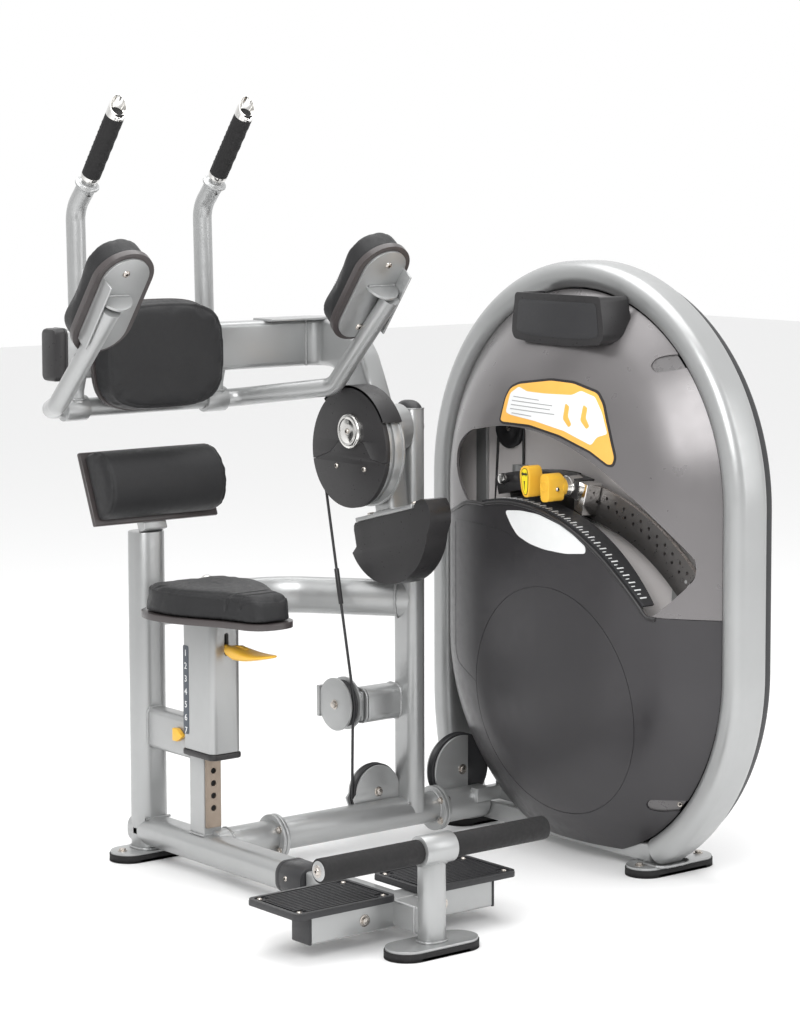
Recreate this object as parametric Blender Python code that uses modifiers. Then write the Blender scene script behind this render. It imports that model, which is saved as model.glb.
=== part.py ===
"""Ab crunch machine with a swing-arm weight tower: frame, seat, crunch arm, cable run and tower.

Metres, +Z up.  The user sits on the mid-plane and faces -Y; +X is the side of the weight tower.
Everything is laid out from the foot of the rear post, and one empty then moves the whole
machine so that the origin is in the middle of the footprint, on the floor.
"""
import math

import bmesh
import bpy
from mathutils import Matrix, Vector

# ---------------------------------------------------------------- driving dimensions (metres)
GAP = 0.0004                 # clearance between pieces that touch
ORIGIN_X = 0.2475            # middle of the footprint, from the foot of the rear post
ORIGIN_Y = -0.4955

FLOOR_PAD = 0.012            # rubber under every steel foot
FOOT_PLATE = 0.008
POST_X = 0.070               # rear post, oval tube
POST_Y = 0.065
POST_TOP = 0.690
SIDE_TUBE_Z = 0.058          # side tube that runs forward from the rear post
SIDE_TUBE_END = -0.500
CROSS_Y = -0.235             # cross tube, seat post and pivot post stand on this line
CROSS_Z = 0.0635
CROSS_R = 0.033
LEFT_FLANGE_X = 0.150        # bolted flange pairs in the cross tube
RIGHT_FLANGE_X = 0.572
PIVOT_POST_X = 0.5045
PIVOT_POST_TOP = 0.925

HUB_Y = -0.238               # axis of the crunch arm
HUB_Z = 0.884
ARM_X = 0.437                # plane of the curved arm
DRUM_X = 0.381               # plane of the cable drum
DRUM_Y = -0.232
DRUM_Z = 0.848
DRUM_R = 0.122
BOX_Y = -0.005               # box tube behind the shoulders
BOX_Z = 1.055
BOX_HIGH = 0.100
BOX_DEEP = 0.050
BOX_END = -0.200
HANDLE_X = 0.153
PAD_TUBE_Z = 0.945           # arm pad frame turns about this line
PAD_TUBE_Y = 0.0
PAD_TUBE_R = 0.019
ARM_PAD = Vector((0.305, -0.3715, 1.1715))
ARM_PAD_LEAN = math.radians(38.0)

SEAT_POST_Y = -0.209
SEAT_STEP = 0.0254
SEAT_STEPS = 6
SEAT_BOARD_Z = 0.535

FOOT_BAR_Y = -0.950
FOOT_BAR_Z = 0.194
CROSSBAR_Y = -0.833

CABLE_Y = -0.210             # plane of the cable run along the base
CABLE_R = 0.003
MID_PULLEY = Vector((0.372, -0.168, 0.300))
LOW_PULLEY = Vector((0.4275, CABLE_Y, 0.1135))
BIG_PULLEY = Vector((0.6560, CABLE_Y, 0.1300))
TOP_PULLEY = Vector((0.7050, -0.3300, 0.8750))

RING_X = 0.730               # oval tube hoop of the weight tower
RING_Y = -0.557
RING_OUT = 0.480
RING_WIDE = 0.057
RING_DEEP = 0.090
RING_TOP_Z = 0.757
RING_LOW_Z = 0.435
TOWER_FOOT_X = 0.757
WEIGHT_PIVOT = (-0.850, 0.330)    # y, z of the weight arm's axis
RAIL_CENTRE = (-0.518, 0.203)     # y, z of the middle of the curved rail
RAIL_IN = 0.516
RAIL_OUT = 0.588
RAIL_X = 0.686

LUMBAR_LEAN = 22.4           # degrees the lower back pad leans
LUMBAR_BACK = (0.0, -0.005, 0.776)
BACK_PAD_Z = 1.048
SIDE_TUBE_WIDE = 0.070
SIDE_TUBE_HIGH = 0.060
FLANGE_R = 0.048
INNER_X = 0.044              # square post inside the seat sleeve
INNER_Y = 0.050
PIVOT_X = 0.044
PIVOT_Y = 0.069
FLANGE_LEAN = 14.0           # degrees the arm's lower flange leans
FLANGE_MID = Vector((ARM_X, -0.272, 0.7115))
SEAT_LOW_HOLE = 0.143
SEAT_PIN_Z = SEAT_LOW_HOLE + SEAT_STEPS * SEAT_STEP
SLEEVE_X = 0.072
SLEEVE_Y = 0.108
SLEEVE_MID = -0.234
SLEEVE_LOW = 0.2625
SLEEVE_TOP = SEAT_BOARD_Z - GAP
SLIDE_GAP = 0.0006
DOME = [(0.6990, 0.4220), (0.6700, 0.3890), (0.6400, 0.3520), (0.6150, 0.3100), (0.5950, 0.2500),
        (0.5850, 0.1800), (0.5800, 0.0800)]      # front cover: x, half width
WINDOW_TOP = ((-0.480, 0.330), 0.567)            # middle in y, z, and radius
WINDOW_LOW = ((-0.485, 0.288), 0.452)

# ---------------------------------------------------------------- scene set-up
for leftover in list(bpy.data.objects):
    bpy.data.objects.remove(leftover, do_unlink=True)

machine = bpy.data.collections.new("ab_crunch_machine")
guides = bpy.data.collections.new("guides")
bpy.context.scene.collection.children.link(machine)
bpy.context.scene.collection.children.link(guides)


def material(name, colour, roughness, metallic):
    made = bpy.data.materials.new(name)
    made.use_nodes = True
    shader = made.node_tree.nodes["Principled BSDF"]
    shader.inputs["Base Color"].default_value = (*colour, 1.0)
    shader.inputs["Roughness"].default_value = roughness
    shader.inputs["Metallic"].default_value = metallic
    made.diffuse_color = (*colour, 1.0)
    return made


SILVER = ("silver_paint", (0.56, 0.57, 0.57), 0.38, 0.55)
VINYL = ("black_vinyl", (0.030, 0.031, 0.032), 0.48, 0.0)
RUBBER = ("black_rubber", (0.018, 0.018, 0.019), 0.75, 0.0)
BLACK = ("black_plastic", (0.028, 0.028, 0.030), 0.42, 0.0)
BOARD = ("grey_board", (0.105, 0.092, 0.090), 0.55, 0.0)
CHROME = ("chrome", (0.80, 0.80, 0.80), 0.12, 1.0)
STEEL = ("plain_steel", (0.50, 0.45, 0.41), 0.35, 0.9)
YELLOW = ("yellow_plastic", (0.90, 0.52, 0.05), 0.40, 0.0)
SHELL = ("shell_plastic", (0.150, 0.145, 0.145), 0.38, 0.35)
DARK = ("dark_plastic", (0.060, 0.060, 0.063), 0.45, 0.0)
PLACARD = ("placard", (0.85, 0.80, 0.68), 0.45, 0.0)


# ---------------------------------------------------------------- modelling tools
def use_mesh(name, mesh, collection=None):
    thing = bpy.data.objects.new(name, mesh)
    (collection or machine).objects.link(thing)
    return thing


def from_bmesh(name, shape):
    mesh = bpy.data.meshes.new(name)
    shape.to_mesh(mesh)
    shape.free()
    return use_mesh(name, mesh)


def flatten(thing):
    """Give the object its evaluated mesh, welded, in world space and without modifiers."""
    bpy.context.view_layer.update()
    graph = bpy.context.evaluated_depsgraph_get()
    mesh = bpy.data.meshes.new_from_object(thing.evaluated_get(graph))
    mesh.transform(thing.matrix_world)
    shape = bmesh.new()
    shape.from_mesh(mesh)
    bmesh.ops.remove_doubles(shape, verts=shape.verts, dist=0.00002)
    bmesh.ops.recalc_face_normals(shape, faces=shape.faces)
    shape.to_mesh(mesh)
    shape.free()
    name = thing.name
    home = thing.users_collection[0]
    bpy.data.objects.remove(thing, do_unlink=True)
    mesh.name = name
    return use_mesh(name, mesh, home)


def bevel(thing, width, segments=2, angle=40.0):
    rounding = thing.modifiers.new("rounded_edges", "BEVEL")
    rounding.width = width
    rounding.segments = segments
    rounding.limit_method = "ANGLE"
    rounding.angle_limit = math.radians(angle)
    return thing


def block(name, size, centre, round_edges=0.0, segments=2, turn=None):
    bpy.ops.mesh.primitive_cube_add(size=1.0)
    thing = bpy.context.active_object
    for home in list(thing.users_collection):
        home.objects.unlink(thing)
    machine.objects.link(thing)
    thing.name = name
    thing.data.transform(Matrix.Diagonal((*size, 1.0)))
    if round_edges > 0.0:
        bevel(thing, round_edges, segments)
    place = Matrix.Translation(centre)
    thing.matrix_world = place @ turn.to_4x4() if turn else place
    return flatten(thing)


def tube_block(name, size, centre, along, corner, segments=3, turn=None):
    """A straight tube of rounded rectangular section: only the long edges are rounded."""
    shape = bmesh.new()
    bmesh.ops.create_cube(shape, size=1.0, matrix=Matrix.Diagonal((*size, 1.0)))
    axis = "XYZ".index(along)
    long_edges = [e for e in shape.edges
                  if abs(e.verts[0].co[axis] - e.verts[1].co[axis]) > size[axis] * 0.5]
    bmesh.ops.bevel(shape, geom=long_edges, offset=corner, segments=segments, profile=0.5,
                    affect="EDGES", clamp_overlap=True)
    thing = from_bmesh(name, shape)
    place = Matrix.Translation(centre)
    thing.matrix_world = place @ turn.to_4x4() if turn else place
    return flatten(thing)


def rod(name, radius, start, end, sides=24, end_radius=None):
    """A cylinder or cone frustum between two points."""
    start = Vector(start)
    end = Vector(end)
    shape = bmesh.new()
    bmesh.ops.create_cone(shape, cap_ends=True, segments=sides, radius1=radius,
                          radius2=radius if end_radius is None else end_radius,
                          depth=(end - start).length)
    thing = from_bmesh(name, shape)
    turn = (end - start).to_track_quat("Z", "Y").to_matrix().to_4x4()
    thing.matrix_world = Matrix.Translation((start + end) / 2) @ turn
    return flatten(thing)


FACING = {
    "X": Matrix(((0, 0, 1), (1, 0, 0), (0, 1, 0))),      # outline in Y, Z
    "Y": Matrix(((1, 0, 0), (0, 0, -1), (0, 1, 0))),     # outline in X, Z
    "Z": Matrix.Identity(3),                             # outline in X, Y
}


def plate(name, outlines, thick, facing, centre, edge=0.0, turn=None):
    """A flat outline (or several: the first outside, the rest holes) with a thickness."""
    curve = bpy.data.curves.new(name, "CURVE")
    curve.dimensions = "2D"
    curve.fill_mode = "BOTH"
    curve.extrude = thick / 2
    for outline in outlines:
        spline = curve.splines.new("POLY")
        spline.points.add(len(outline) - 1)
        for point, (a, b) in zip(spline.points, outline):
            point.co = (a, b, 0.0, 1.0)
        spline.use_cyclic_u = True
    thing = bpy.data.objects.new(name, curve)
    machine.objects.link(thing)
    whole = Matrix.Translation(centre) @ (turn.to_4x4() if turn else Matrix.Identity(4))
    thing.matrix_world = whole @ FACING[facing].to_4x4()
    thing = flatten(thing)
    if edge > 0.0:
        thing = flatten(bevel(thing, edge, 2))
    return thing


def pipe(name, path, radius, resolution=6, flat=1.0):
    """A round tube along a path; flat scales its height, for an oval tube on a level path."""
    curve = bpy.data.curves.new(name, "CURVE")
    curve.dimensions = "3D"
    curve.bevel_depth = radius
    curve.bevel_resolution = resolution
    curve.use_fill_caps = True
    spline = curve.splines.new("POLY")
    spline.points.add(len(path) - 1)
    for point, place in zip(spline.points, path):
        point.co = (*place, 1.0)
    thing = bpy.data.objects.new(name, curve)
    machine.objects.link(thing)
    thing = flatten(thing)
    if flat != 1.0:
        level = path[0][2]
        for vertex in thing.data.vertices:
            vertex.co.z = level + (vertex.co.z - level) * flat
    return thing


def turned(name, profile, start, direction, steps=28):
    """A closed profile of (radius, distance along the axis) turned about that axis."""
    mesh = bpy.data.meshes.new(name)
    points = [(radius, 0.0, along) for radius, along in profile]
    mesh.from_pydata(points, [(i, i + 1) for i in range(len(points) - 1)], [])
    thing = use_mesh(name, mesh)
    screw = thing.modifiers.new("turn", "SCREW")
    screw.steps = steps
    screw.render_steps = steps
    screw.use_merge_vertices = True
    screw.merge_threshold = 0.00005
    turn = Vector(direction).to_track_quat("Z", "Y").to_matrix().to_4x4()
    thing.matrix_world = Matrix.Translation(start) @ turn
    return flatten(thing)


def combine(kind, thing, others):
    for other in others:
        step = thing.modifiers.new(kind.lower(), "BOOLEAN")
        step.operation = kind
        step.object = other
        step.solver = "EXACT"
        thing = flatten(thing)
        bpy.data.objects.remove(other, do_unlink=True)
    return thing


def fuse(thing, *others):
    return combine("UNION", thing, others)


def cut(thing, *others):
    return combine("DIFFERENCE", thing, others)


def arc(centre, radius, first, last, count):
    """Points on an arc; angles in degrees."""
    points = []
    for i in range(count + 1):
        angle = math.radians(first + (last - first) * i / count)
        points.append((centre[0] + radius * math.cos(angle), centre[1] + radius * math.sin(angle)))
    return points


def stadium(half_long, half_wide, count=8, upright=False):
    """Outline with two round ends; long along the first axis unless upright."""
    straight = half_long - half_wide
    points = arc((straight, 0.0), half_wide, -90, 90, count)
    points += arc((-straight, 0.0), half_wide, 90, 270, count)
    return [(b, -a) for a, b in points] if upright else points


def rounded_rect(half_a, half_b, corner, count=4):
    points = []
    for sign_a, sign_b, first in ((1, 1, 0), (-1, 1, 90), (-1, -1, 180), (1, -1, 270)):
        middle = (sign_a * (half_a - corner), sign_b * (half_b - corner))
        points += arc(middle, corner, first, first + 90, count)
    return points


def bent_path(corners, radii, steps=5):
    """Straight runs joined by arcs of the given bend radius at each inner corner."""
    corners = [Vector(c) for c in corners]
    path = [corners[0]]
    for i, radius in enumerate(radii, start=1):
        back = (corners[i - 1] - corners[i]).normalized()
        ahead = (corners[i + 1] - corners[i]).normalized()
        half = back.angle(ahead) / 2
        middle = corners[i] + (back + ahead).normalized() * radius / math.sin(half)
        start = corners[i] + back * radius / math.tan(half) - middle
        end = corners[i] + ahead * radius / math.tan(half) - middle
        sweep = start.angle(end)
        for k in range(steps + 1):
            t = k / steps
            spot = (start * math.sin((1 - t) * sweep) + end * math.sin(t * sweep)) / math.sin(sweep)
            path.append(middle + spot)
    path.append(corners[-1])
    return path


def loft(name, sections):
    """Close a row of equal-count rings into one solid."""
    shape = bmesh.new()
    rings = [[shape.verts.new(p) for p in ring] for ring in sections]
    count = len(rings[0])
    for near, far in zip(rings, rings[1:]):
        for i in range(count):
            j = (i + 1) % count
            shape.faces.new((near[i], near[j], far[j], far[i]))
    shape.faces.new(list(reversed(rings[0])))
    shape.faces.new(rings[-1])
    bmesh.ops.recalc_face_normals(shape, faces=shape.faces)
    return flatten(from_bmesh(name, shape))


def body(name, place):
    """An empty on a joint's axis; the moving pieces are its children."""
    empty = bpy.data.objects.new(name, None)
    empty.empty_display_size = 0.05
    empty.location = place
    machine.objects.link(empty)
    return empty


def finish(thing, look, parent, smooth=35.0, axis=None):
    """Material, shading and parent; a piece that turns by itself gets its origin on its axis."""
    name, colour, roughness, metallic = look
    if axis is not None:
        thing.data.transform(Matrix.Translation(-Vector(axis)))
        thing.location = axis
    thing.data.materials.clear()
    thing.data.materials.append(material(thing.name + "_" + name, colour, roughness, metallic))
    thing.data.shade_smooth()
    thing.data.set_sharp_from_angle(angle=math.radians(smooth))
    bpy.context.view_layer.update()
    thing.parent = parent
    thing.matrix_parent_inverse = parent.matrix_world.inverted()
    return thing


# ---------------------------------------------------------------- joint axes
base = body("machine_base", (0, 0, 0))
crunch = body("crunch_axis", (ARM_X, HUB_Y, HUB_Z))
pad_axis = body("pad_frame_axis", (0, PAD_TUBE_Y, PAD_TUBE_Z))
seat_axis = body("seat_axis", (0, SEAT_POST_Y, SEAT_BOARD_Z))
weight_axis = body("weight_axis", (RAIL_X, *WEIGHT_PIVOT))
carriage_axis = body("carriage_axis", (RAIL_X, *RAIL_CENTRE))


# ---------------------------------------------------------------- rear frame
def lumbar_turn():
    return Matrix.Rotation(math.radians(-LUMBAR_LEAN), 3, "X")


def lumbar_place(along, out):
    """A point on the lean of the lower back pad: along its slope, and out from its rear face."""
    return Vector(LUMBAR_BACK) + lumbar_turn() @ Vector((0.0, -out, along))


def make_rear_frame():
    low = FLOOR_PAD + GAP
    post = tube_block("rear_frame", (POST_X, POST_Y, POST_TOP - low - 0.004),
                      (0, 0, (POST_TOP + low + 0.004) / 2), "Z", 0.026, 4)
    foot = plate("foot", [stadium(0.088, 0.040)], FOOT_PLATE, "Z", (0, 0, low + FOOT_PLATE / 2))
    side = tube_block("side", (SIDE_TUBE_WIDE, 0.53, SIDE_TUBE_HIGH), (0, -0.235, SIDE_TUBE_Z),
                      "Y", 0.024, 4)
    stub = rod("stub", CROSS_R, (0.0, CROSS_Y, CROSS_Z), (LEFT_FLANGE_X - 0.004, CROSS_Y, CROSS_Z))
    flange = rod("flange", FLANGE_R, (LEFT_FLANGE_X - GAP / 2 - 0.008, CROSS_Y, CROSS_Z - 0.004),
                 (LEFT_FLANGE_X - GAP / 2, CROSS_Y, CROSS_Z - 0.004), 28)
    inner = block("inner", (INNER_X, INNER_Y, 0.235), (0, SEAT_POST_Y, 0.198), 0.003)
    brace = tube_block("brace", (INNER_X, 0.175, 0.084), (0, -0.108, 0.278), "Y", 0.012)
    bracket = block("bracket", (0.056, 0.026, 0.165), lumbar_place(-0.010, -0.0135), 0.003,
                    turn=lumbar_turn())
    whole = fuse(post, foot, side, stub, flange, inner, brace, bracket)
    return finish(whole, SILVER, base)


def make_foot_pad(name, centre, half_long, half_wide, upright=False):
    pad = plate(name, [stadium(half_long, half_wide, 8, upright)], FLOOR_PAD, "Z",
                (centre[0], centre[1], FLOOR_PAD / 2), 0.002)
    return finish(pad, RUBBER, base)


def make_side_tube_cap():
    """Plastic nose on the front end of the side tube."""
    cap = tube_block("side_tube_cap", (SIDE_TUBE_WIDE + 0.004, 0.082, SIDE_TUBE_HIGH + 0.003),
                     (0, SIDE_TUBE_END - GAP - 0.041, SIDE_TUBE_Z), "Y", 0.025, 4)
    return finish(cap, DARK, base)


def make_curved_beam():
    """Oval beam behind the seat, from the rear post to the pivot post."""
    level = 0.520
    path = bent_path([(0.0, 0.0, level), (0.315, 0.0, level), (0.503, -0.2465, level)], [0.17], 6)
    beam = pipe("curved_beam", path, 0.0225, 5, 0.078 / 0.045)
    rear = tube_block("rear", (POST_X + 2 * GAP, POST_Y + 2 * GAP, 0.3), (0, 0, level), "Z", 0.026, 4)
    pivot = tube_block("pivot", (PIVOT_X + 2 * GAP + 0.10, PIVOT_Y + 2 * GAP, 0.3),
                       (PIVOT_POST_X + 0.05, CROSS_Y, level), "Z", 0.012, 4)
    return finish(cut(beam, rear, pivot), SILVER, base)


def make_lumbar_pad():
    """Backing board and roll of the lower back pad, as one outline."""
    outline = [(0.0, -0.078), (-0.010, -0.078), (-0.012, -0.073), (-0.028, -0.073)]
    outline += [(-0.028 - 0.066 * math.cos(t), 0.073 * math.sin(t))
                for t in [math.radians(a) for a in range(-75, 76, 15)]]
    outline += [(-0.028, 0.073), (-0.012, 0.073), (-0.010, 0.078), (0.0, 0.078)]
    pad = plate("lumbar_cushion", [outline], 0.288, "X", lumbar_place(0.0, GAP), 0.003, lumbar_turn())
    return finish(pad, VINYL, base)


# ---------------------------------------------------------------- cross frame and pivot post
def make_cross_frame():
    first = LEFT_FLANGE_X + GAP / 2
    last = RIGHT_FLANGE_X - GAP / 2
    tube = rod("cross_frame", CROSS_R, (first + 0.002, CROSS_Y, CROSS_Z), (last - 0.002, CROSS_Y, CROSS_Z))
    left = rod("left", FLANGE_R, (first, CROSS_Y, CROSS_Z - 0.004),
               (first + 0.008, CROSS_Y, CROSS_Z - 0.004), 28)
    right = rod("right", FLANGE_R, (last - 0.008, CROSS_Y, CROSS_Z - 0.004),
                (last, CROSS_Y, CROSS_Z - 0.004), 28)
    post = tube_block("post", (PIVOT_X, PIVOT_Y, PIVOT_POST_TOP - CROSS_Z),
                      (PIVOT_POST_X, CROSS_Y, (PIVOT_POST_TOP + CROSS_Z) / 2), "Z", 0.018, 4)
    stub = tube_block("stub", (0.092, 0.056, 0.074), (PIVOT_POST_X - 0.062, -0.207, 0.300), "X", 0.020, 4)
    profile = [(0.0, 0.0152), (0.012, 0.0145), (0.024, 0.011), (0.0320, 0.004), (0.0345, -0.004), (0.0, -0.004)]
    cap = turned("cap", profile, (PIVOT_POST_X, CROSS_Y, PIVOT_POST_TOP), (0, 0, 1), 20)
    for vertex in cap.data.vertices:
        vertex.co.x = PIVOT_POST_X + (vertex.co.x - PIVOT_POST_X) * PIVOT_X / PIVOT_Y
    whole = fuse(tube, left, right, post, stub, cap)
    pocket = block("pocket", (0.140, 0.021, 0.147), (0.4305, CABLE_Y, 0.1235))
    channel = block("channel", (0.13, 0.012, 0.014), (0.525, CABLE_Y, 0.0580))
    slot = block("slot", (0.030, 0.012, 0.014), (0.3600, CABLE_Y, 0.0580))
    bore = rod("bore", 0.0143, (0.46, HUB_Y, HUB_Z), (0.60, HUB_Y, HUB_Z), 20)
    return finish(cut(whole, pocket, channel, slot, bore), SILVER, base)


def make_pivot_shaft():
    shaft = rod("pivot_shaft", 0.0140, (0.3445, HUB_Y, HUB_Z), (PIVOT_POST_X + 0.0215, HUB_Y, HUB_Z), 20)
    return finish(shaft, STEEL, base)


# ---------------------------------------------------------------- seat
def make_seat():
    front = SEAT_POST_Y - INNER_Y / 2
    strip = block("seat_hole_strip", (0.036, 0.004, 0.215), (0, front - GAP - 0.002, 0.2105), 0.001)
    for step in range(SEAT_STEPS + 1):
        height = SEAT_LOW_HOLE + step * SEAT_STEP
        hole = rod("hole", 0.0050, (0, front + 0.01, height), (0, front - 0.02, height), 12)
        strip = cut(strip, hole)
    finish(strip, STEEL, base)

    sleeve = tube_block("seat_sleeve", (SLEEVE_X, SLEEVE_Y, SLEEVE_TOP - SLEEVE_LOW),
                        (0, SLEEVE_MID, (SLEEVE_TOP + SLEEVE_LOW) / 2), "Z", 0.014)
    reach = block("reach", (0.046, 0.085, 0.020), (0, -0.150, SLEEVE_TOP - 0.0125), 0.003)
    cavity = block("cavity", (INNER_X + 2 * SLIDE_GAP, 0.0720, 0.300),
                   (0, front - 0.0052 + 0.036, SLEEVE_TOP - 0.165))
    works = block("works", (0.016, 0.034, 0.235), (0, -0.2560, 0.3935))
    slot = block("slot", (0.0105, 0.060, 0.046), (0, -0.281, 0.483), 0.004)
    sleeve = cut(fuse(sleeve, reach), cavity, works, slot)
    finish(sleeve, SILVER, seat_axis)

    bushing = tube_block("sleeve_bushing", (SLEEVE_X + 0.005, SLEEVE_Y + 0.005, 0.0120),
                         (0, SLEEVE_MID, SLEEVE_LOW - GAP - 0.006), "Z", 0.015)
    cavity = block("cavity", (INNER_X + 2 * SLIDE_GAP, 0.0740, 0.1),
                   (0, front - 0.0052 + 0.037, SLEEVE_LOW))
    finish(cut(bushing, cavity), BLACK, seat_axis)

    board = plate("seat_board", [seat_outline(0.0)], 0.012, "Z", (0, 0, SEAT_BOARD_Z + 0.006), 0.002)
    finish(board, BOARD, seat_axis)
    cushion = plate("seat_cushion", [seat_outline(-0.004)], 0.058, "Z",
                    (0, 0, SEAT_BOARD_Z + 0.012 + GAP + 0.029), 0.012)
    finish(cushion, VINYL, seat_axis)

    pin = turned("seat_lock_pin", [(0.0, 0.0260), (0.0065, 0.0260), (0.0065, 0.0140), (0.0044, 0.0138),
                                   (0.0044, 0.0008), (0.0036, 0.0), (0.0, 0.0)],
                 (0, front - 0.0052, SEAT_PIN_Z), (0, -1, 0), 16)
    finish(pin, STEEL, seat_axis, axis=(0, -0.260, SEAT_PIN_Z))
    lever = plate("seat_lever", [[(-0.264, 0.4815), (-0.264, 0.4665), (-0.300, 0.4655), (-0.312, 0.452),
                                  (-0.330, 0.450), (-0.380, 0.457), (-0.446, 0.470), (-0.447, 0.476),
                                  (-0.420, 0.478), (-0.380, 0.486), (-0.340, 0.4895), (-0.300, 0.4825)]],
                  0.0085, "X", (0, 0, 0))
    paddle = plate("paddle", [[(-0.302, -0.017), (-0.330, -0.021), (-0.400, -0.025), (-0.438, -0.020),
                               (-0.447, 0.0), (-0.438, 0.020), (-0.400, 0.025), (-0.330, 0.021),
                               (-0.302, 0.017)]], 0.040, "Z", (0, 0, 0.470),
                   turn=Matrix.Rotation(math.radians(90), 3, "Z"))
    hollow = block("hollow", (0.2, 0.2, 0.06), (0, -0.420, 0.5120),
                   turn=Matrix.Rotation(math.radians(7), 3, "X"))
    under = block("under", (0.2, 0.3, 0.06), (0, -0.430, 0.4310), turn=Matrix.Rotation(math.radians(-9), 3, "X"))
    paddle = cut(paddle, hollow, under)
    finish(fuse(lever, paddle), YELLOW, seat_axis, axis=(0, -0.262, 0.474))


def seat_outline(grow):
    """Saddle outline: wide and round at the back, a narrow nose at the front."""
    half = [(0.0, -0.115), (0.045, -0.117), (0.085, -0.128), (0.112, -0.152), (0.126, -0.190),
            (0.127, -0.225), (0.117, -0.275), (0.098, -0.320), (0.076, -0.365), (0.062, -0.405),
            (0.054, -0.437), (0.040, -0.457), (0.020, -0.466), (0.0, -0.468)]
    whole = half + [(-x, y) for x, y in reversed(half[1:-1])]
    middle = -0.29
    return [(x * (1 + grow / 0.12), middle + (y - middle) * (1 + grow / 0.17)) for x, y in whole]


# ---------------------------------------------------------------- footrest
def make_footrest():
    low = FLOOR_PAD + GAP
    post = tube_block("footrest_frame", (0.052, 0.042, 0.160), (0, -0.942, low + 0.084), "Z", 0.018, 4)
    foot = plate("foot", [stadium(0.098, 0.042)], FOOT_PLATE, "Z", (0, -0.942, low + FOOT_PLATE / 2))
    beam = block("beam", (0.050, 0.366, 0.050), (0, -0.7690, 0.0590), 0.004)
    bar = block("bar", (0.436, 0.054, 0.054), (0, CROSSBAR_Y, 0.0590), 0.004)
    hub = rod("hub", 0.0285, (-0.036, FOOT_BAR_Y, FOOT_BAR_Z), (0.036, FOOT_BAR_Y, FOOT_BAR_Z))
    neck = tube_block("neck", (0.052, 0.042, 0.050), (0, -0.945, 0.168), "Z", 0.018, 4)
    bore = rod("bore", 0.0123, (-0.1, FOOT_BAR_Y, FOOT_BAR_Z), (0.1, FOOT_BAR_Y, FOOT_BAR_Z), 16)
    finish(cut(fuse(post, foot, beam, bar, hub, neck), bore), SILVER, base)

    axle = rod("foot_bar_axle", 0.0120, (-0.2665, FOOT_BAR_Y, FOOT_BAR_Z), (0.2665, FOOT_BAR_Y, FOOT_BAR_Z), 16)
    finish(axle, STEEL, base)
    for side, name in ((-1, "foot_roller_right"), (1, "foot_roller_left")):
        profile = [(0.0126, 0.2250), (0.0195, 0.2250), (0.0225, 0.2225), (0.0225, 0.0025), (0.0205, 0.0),
                   (0.0126, 0.0), (0.0126, 0.2250)]
        roller = turned(name, profile, (side * 0.0370, FOOT_BAR_Y, FOOT_BAR_Z), (side, 0, 0), 24)
        finish(roller, RUBBER, base, axis=(side * 0.150, FOOT_BAR_Y, FOOT_BAR_Z))
    for side, name in ((-1, "foot_plate_right"), (1, "foot_plate_left")):
        tread = plate(name, [rounded_rect(0.114, 0.080, 0.014)], 0.012, "Z",
                      (side * 0.145, -0.800, 0.0930), 0.002)
        finish(tread, BLACK, base)


# ---------------------------------------------------------------- crunch arm
def arm_section(place, depth_way, along, high, deep, corner):
    """Ring of a rounded rectangle: deep along depth_way, high across it."""
    high_way = along.cross(depth_way).normalized()
    ring = rounded_rect(deep / 2, high / 2, corner, 3)
    return [place + depth_way * a + high_way * b for a, b in ring]


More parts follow.
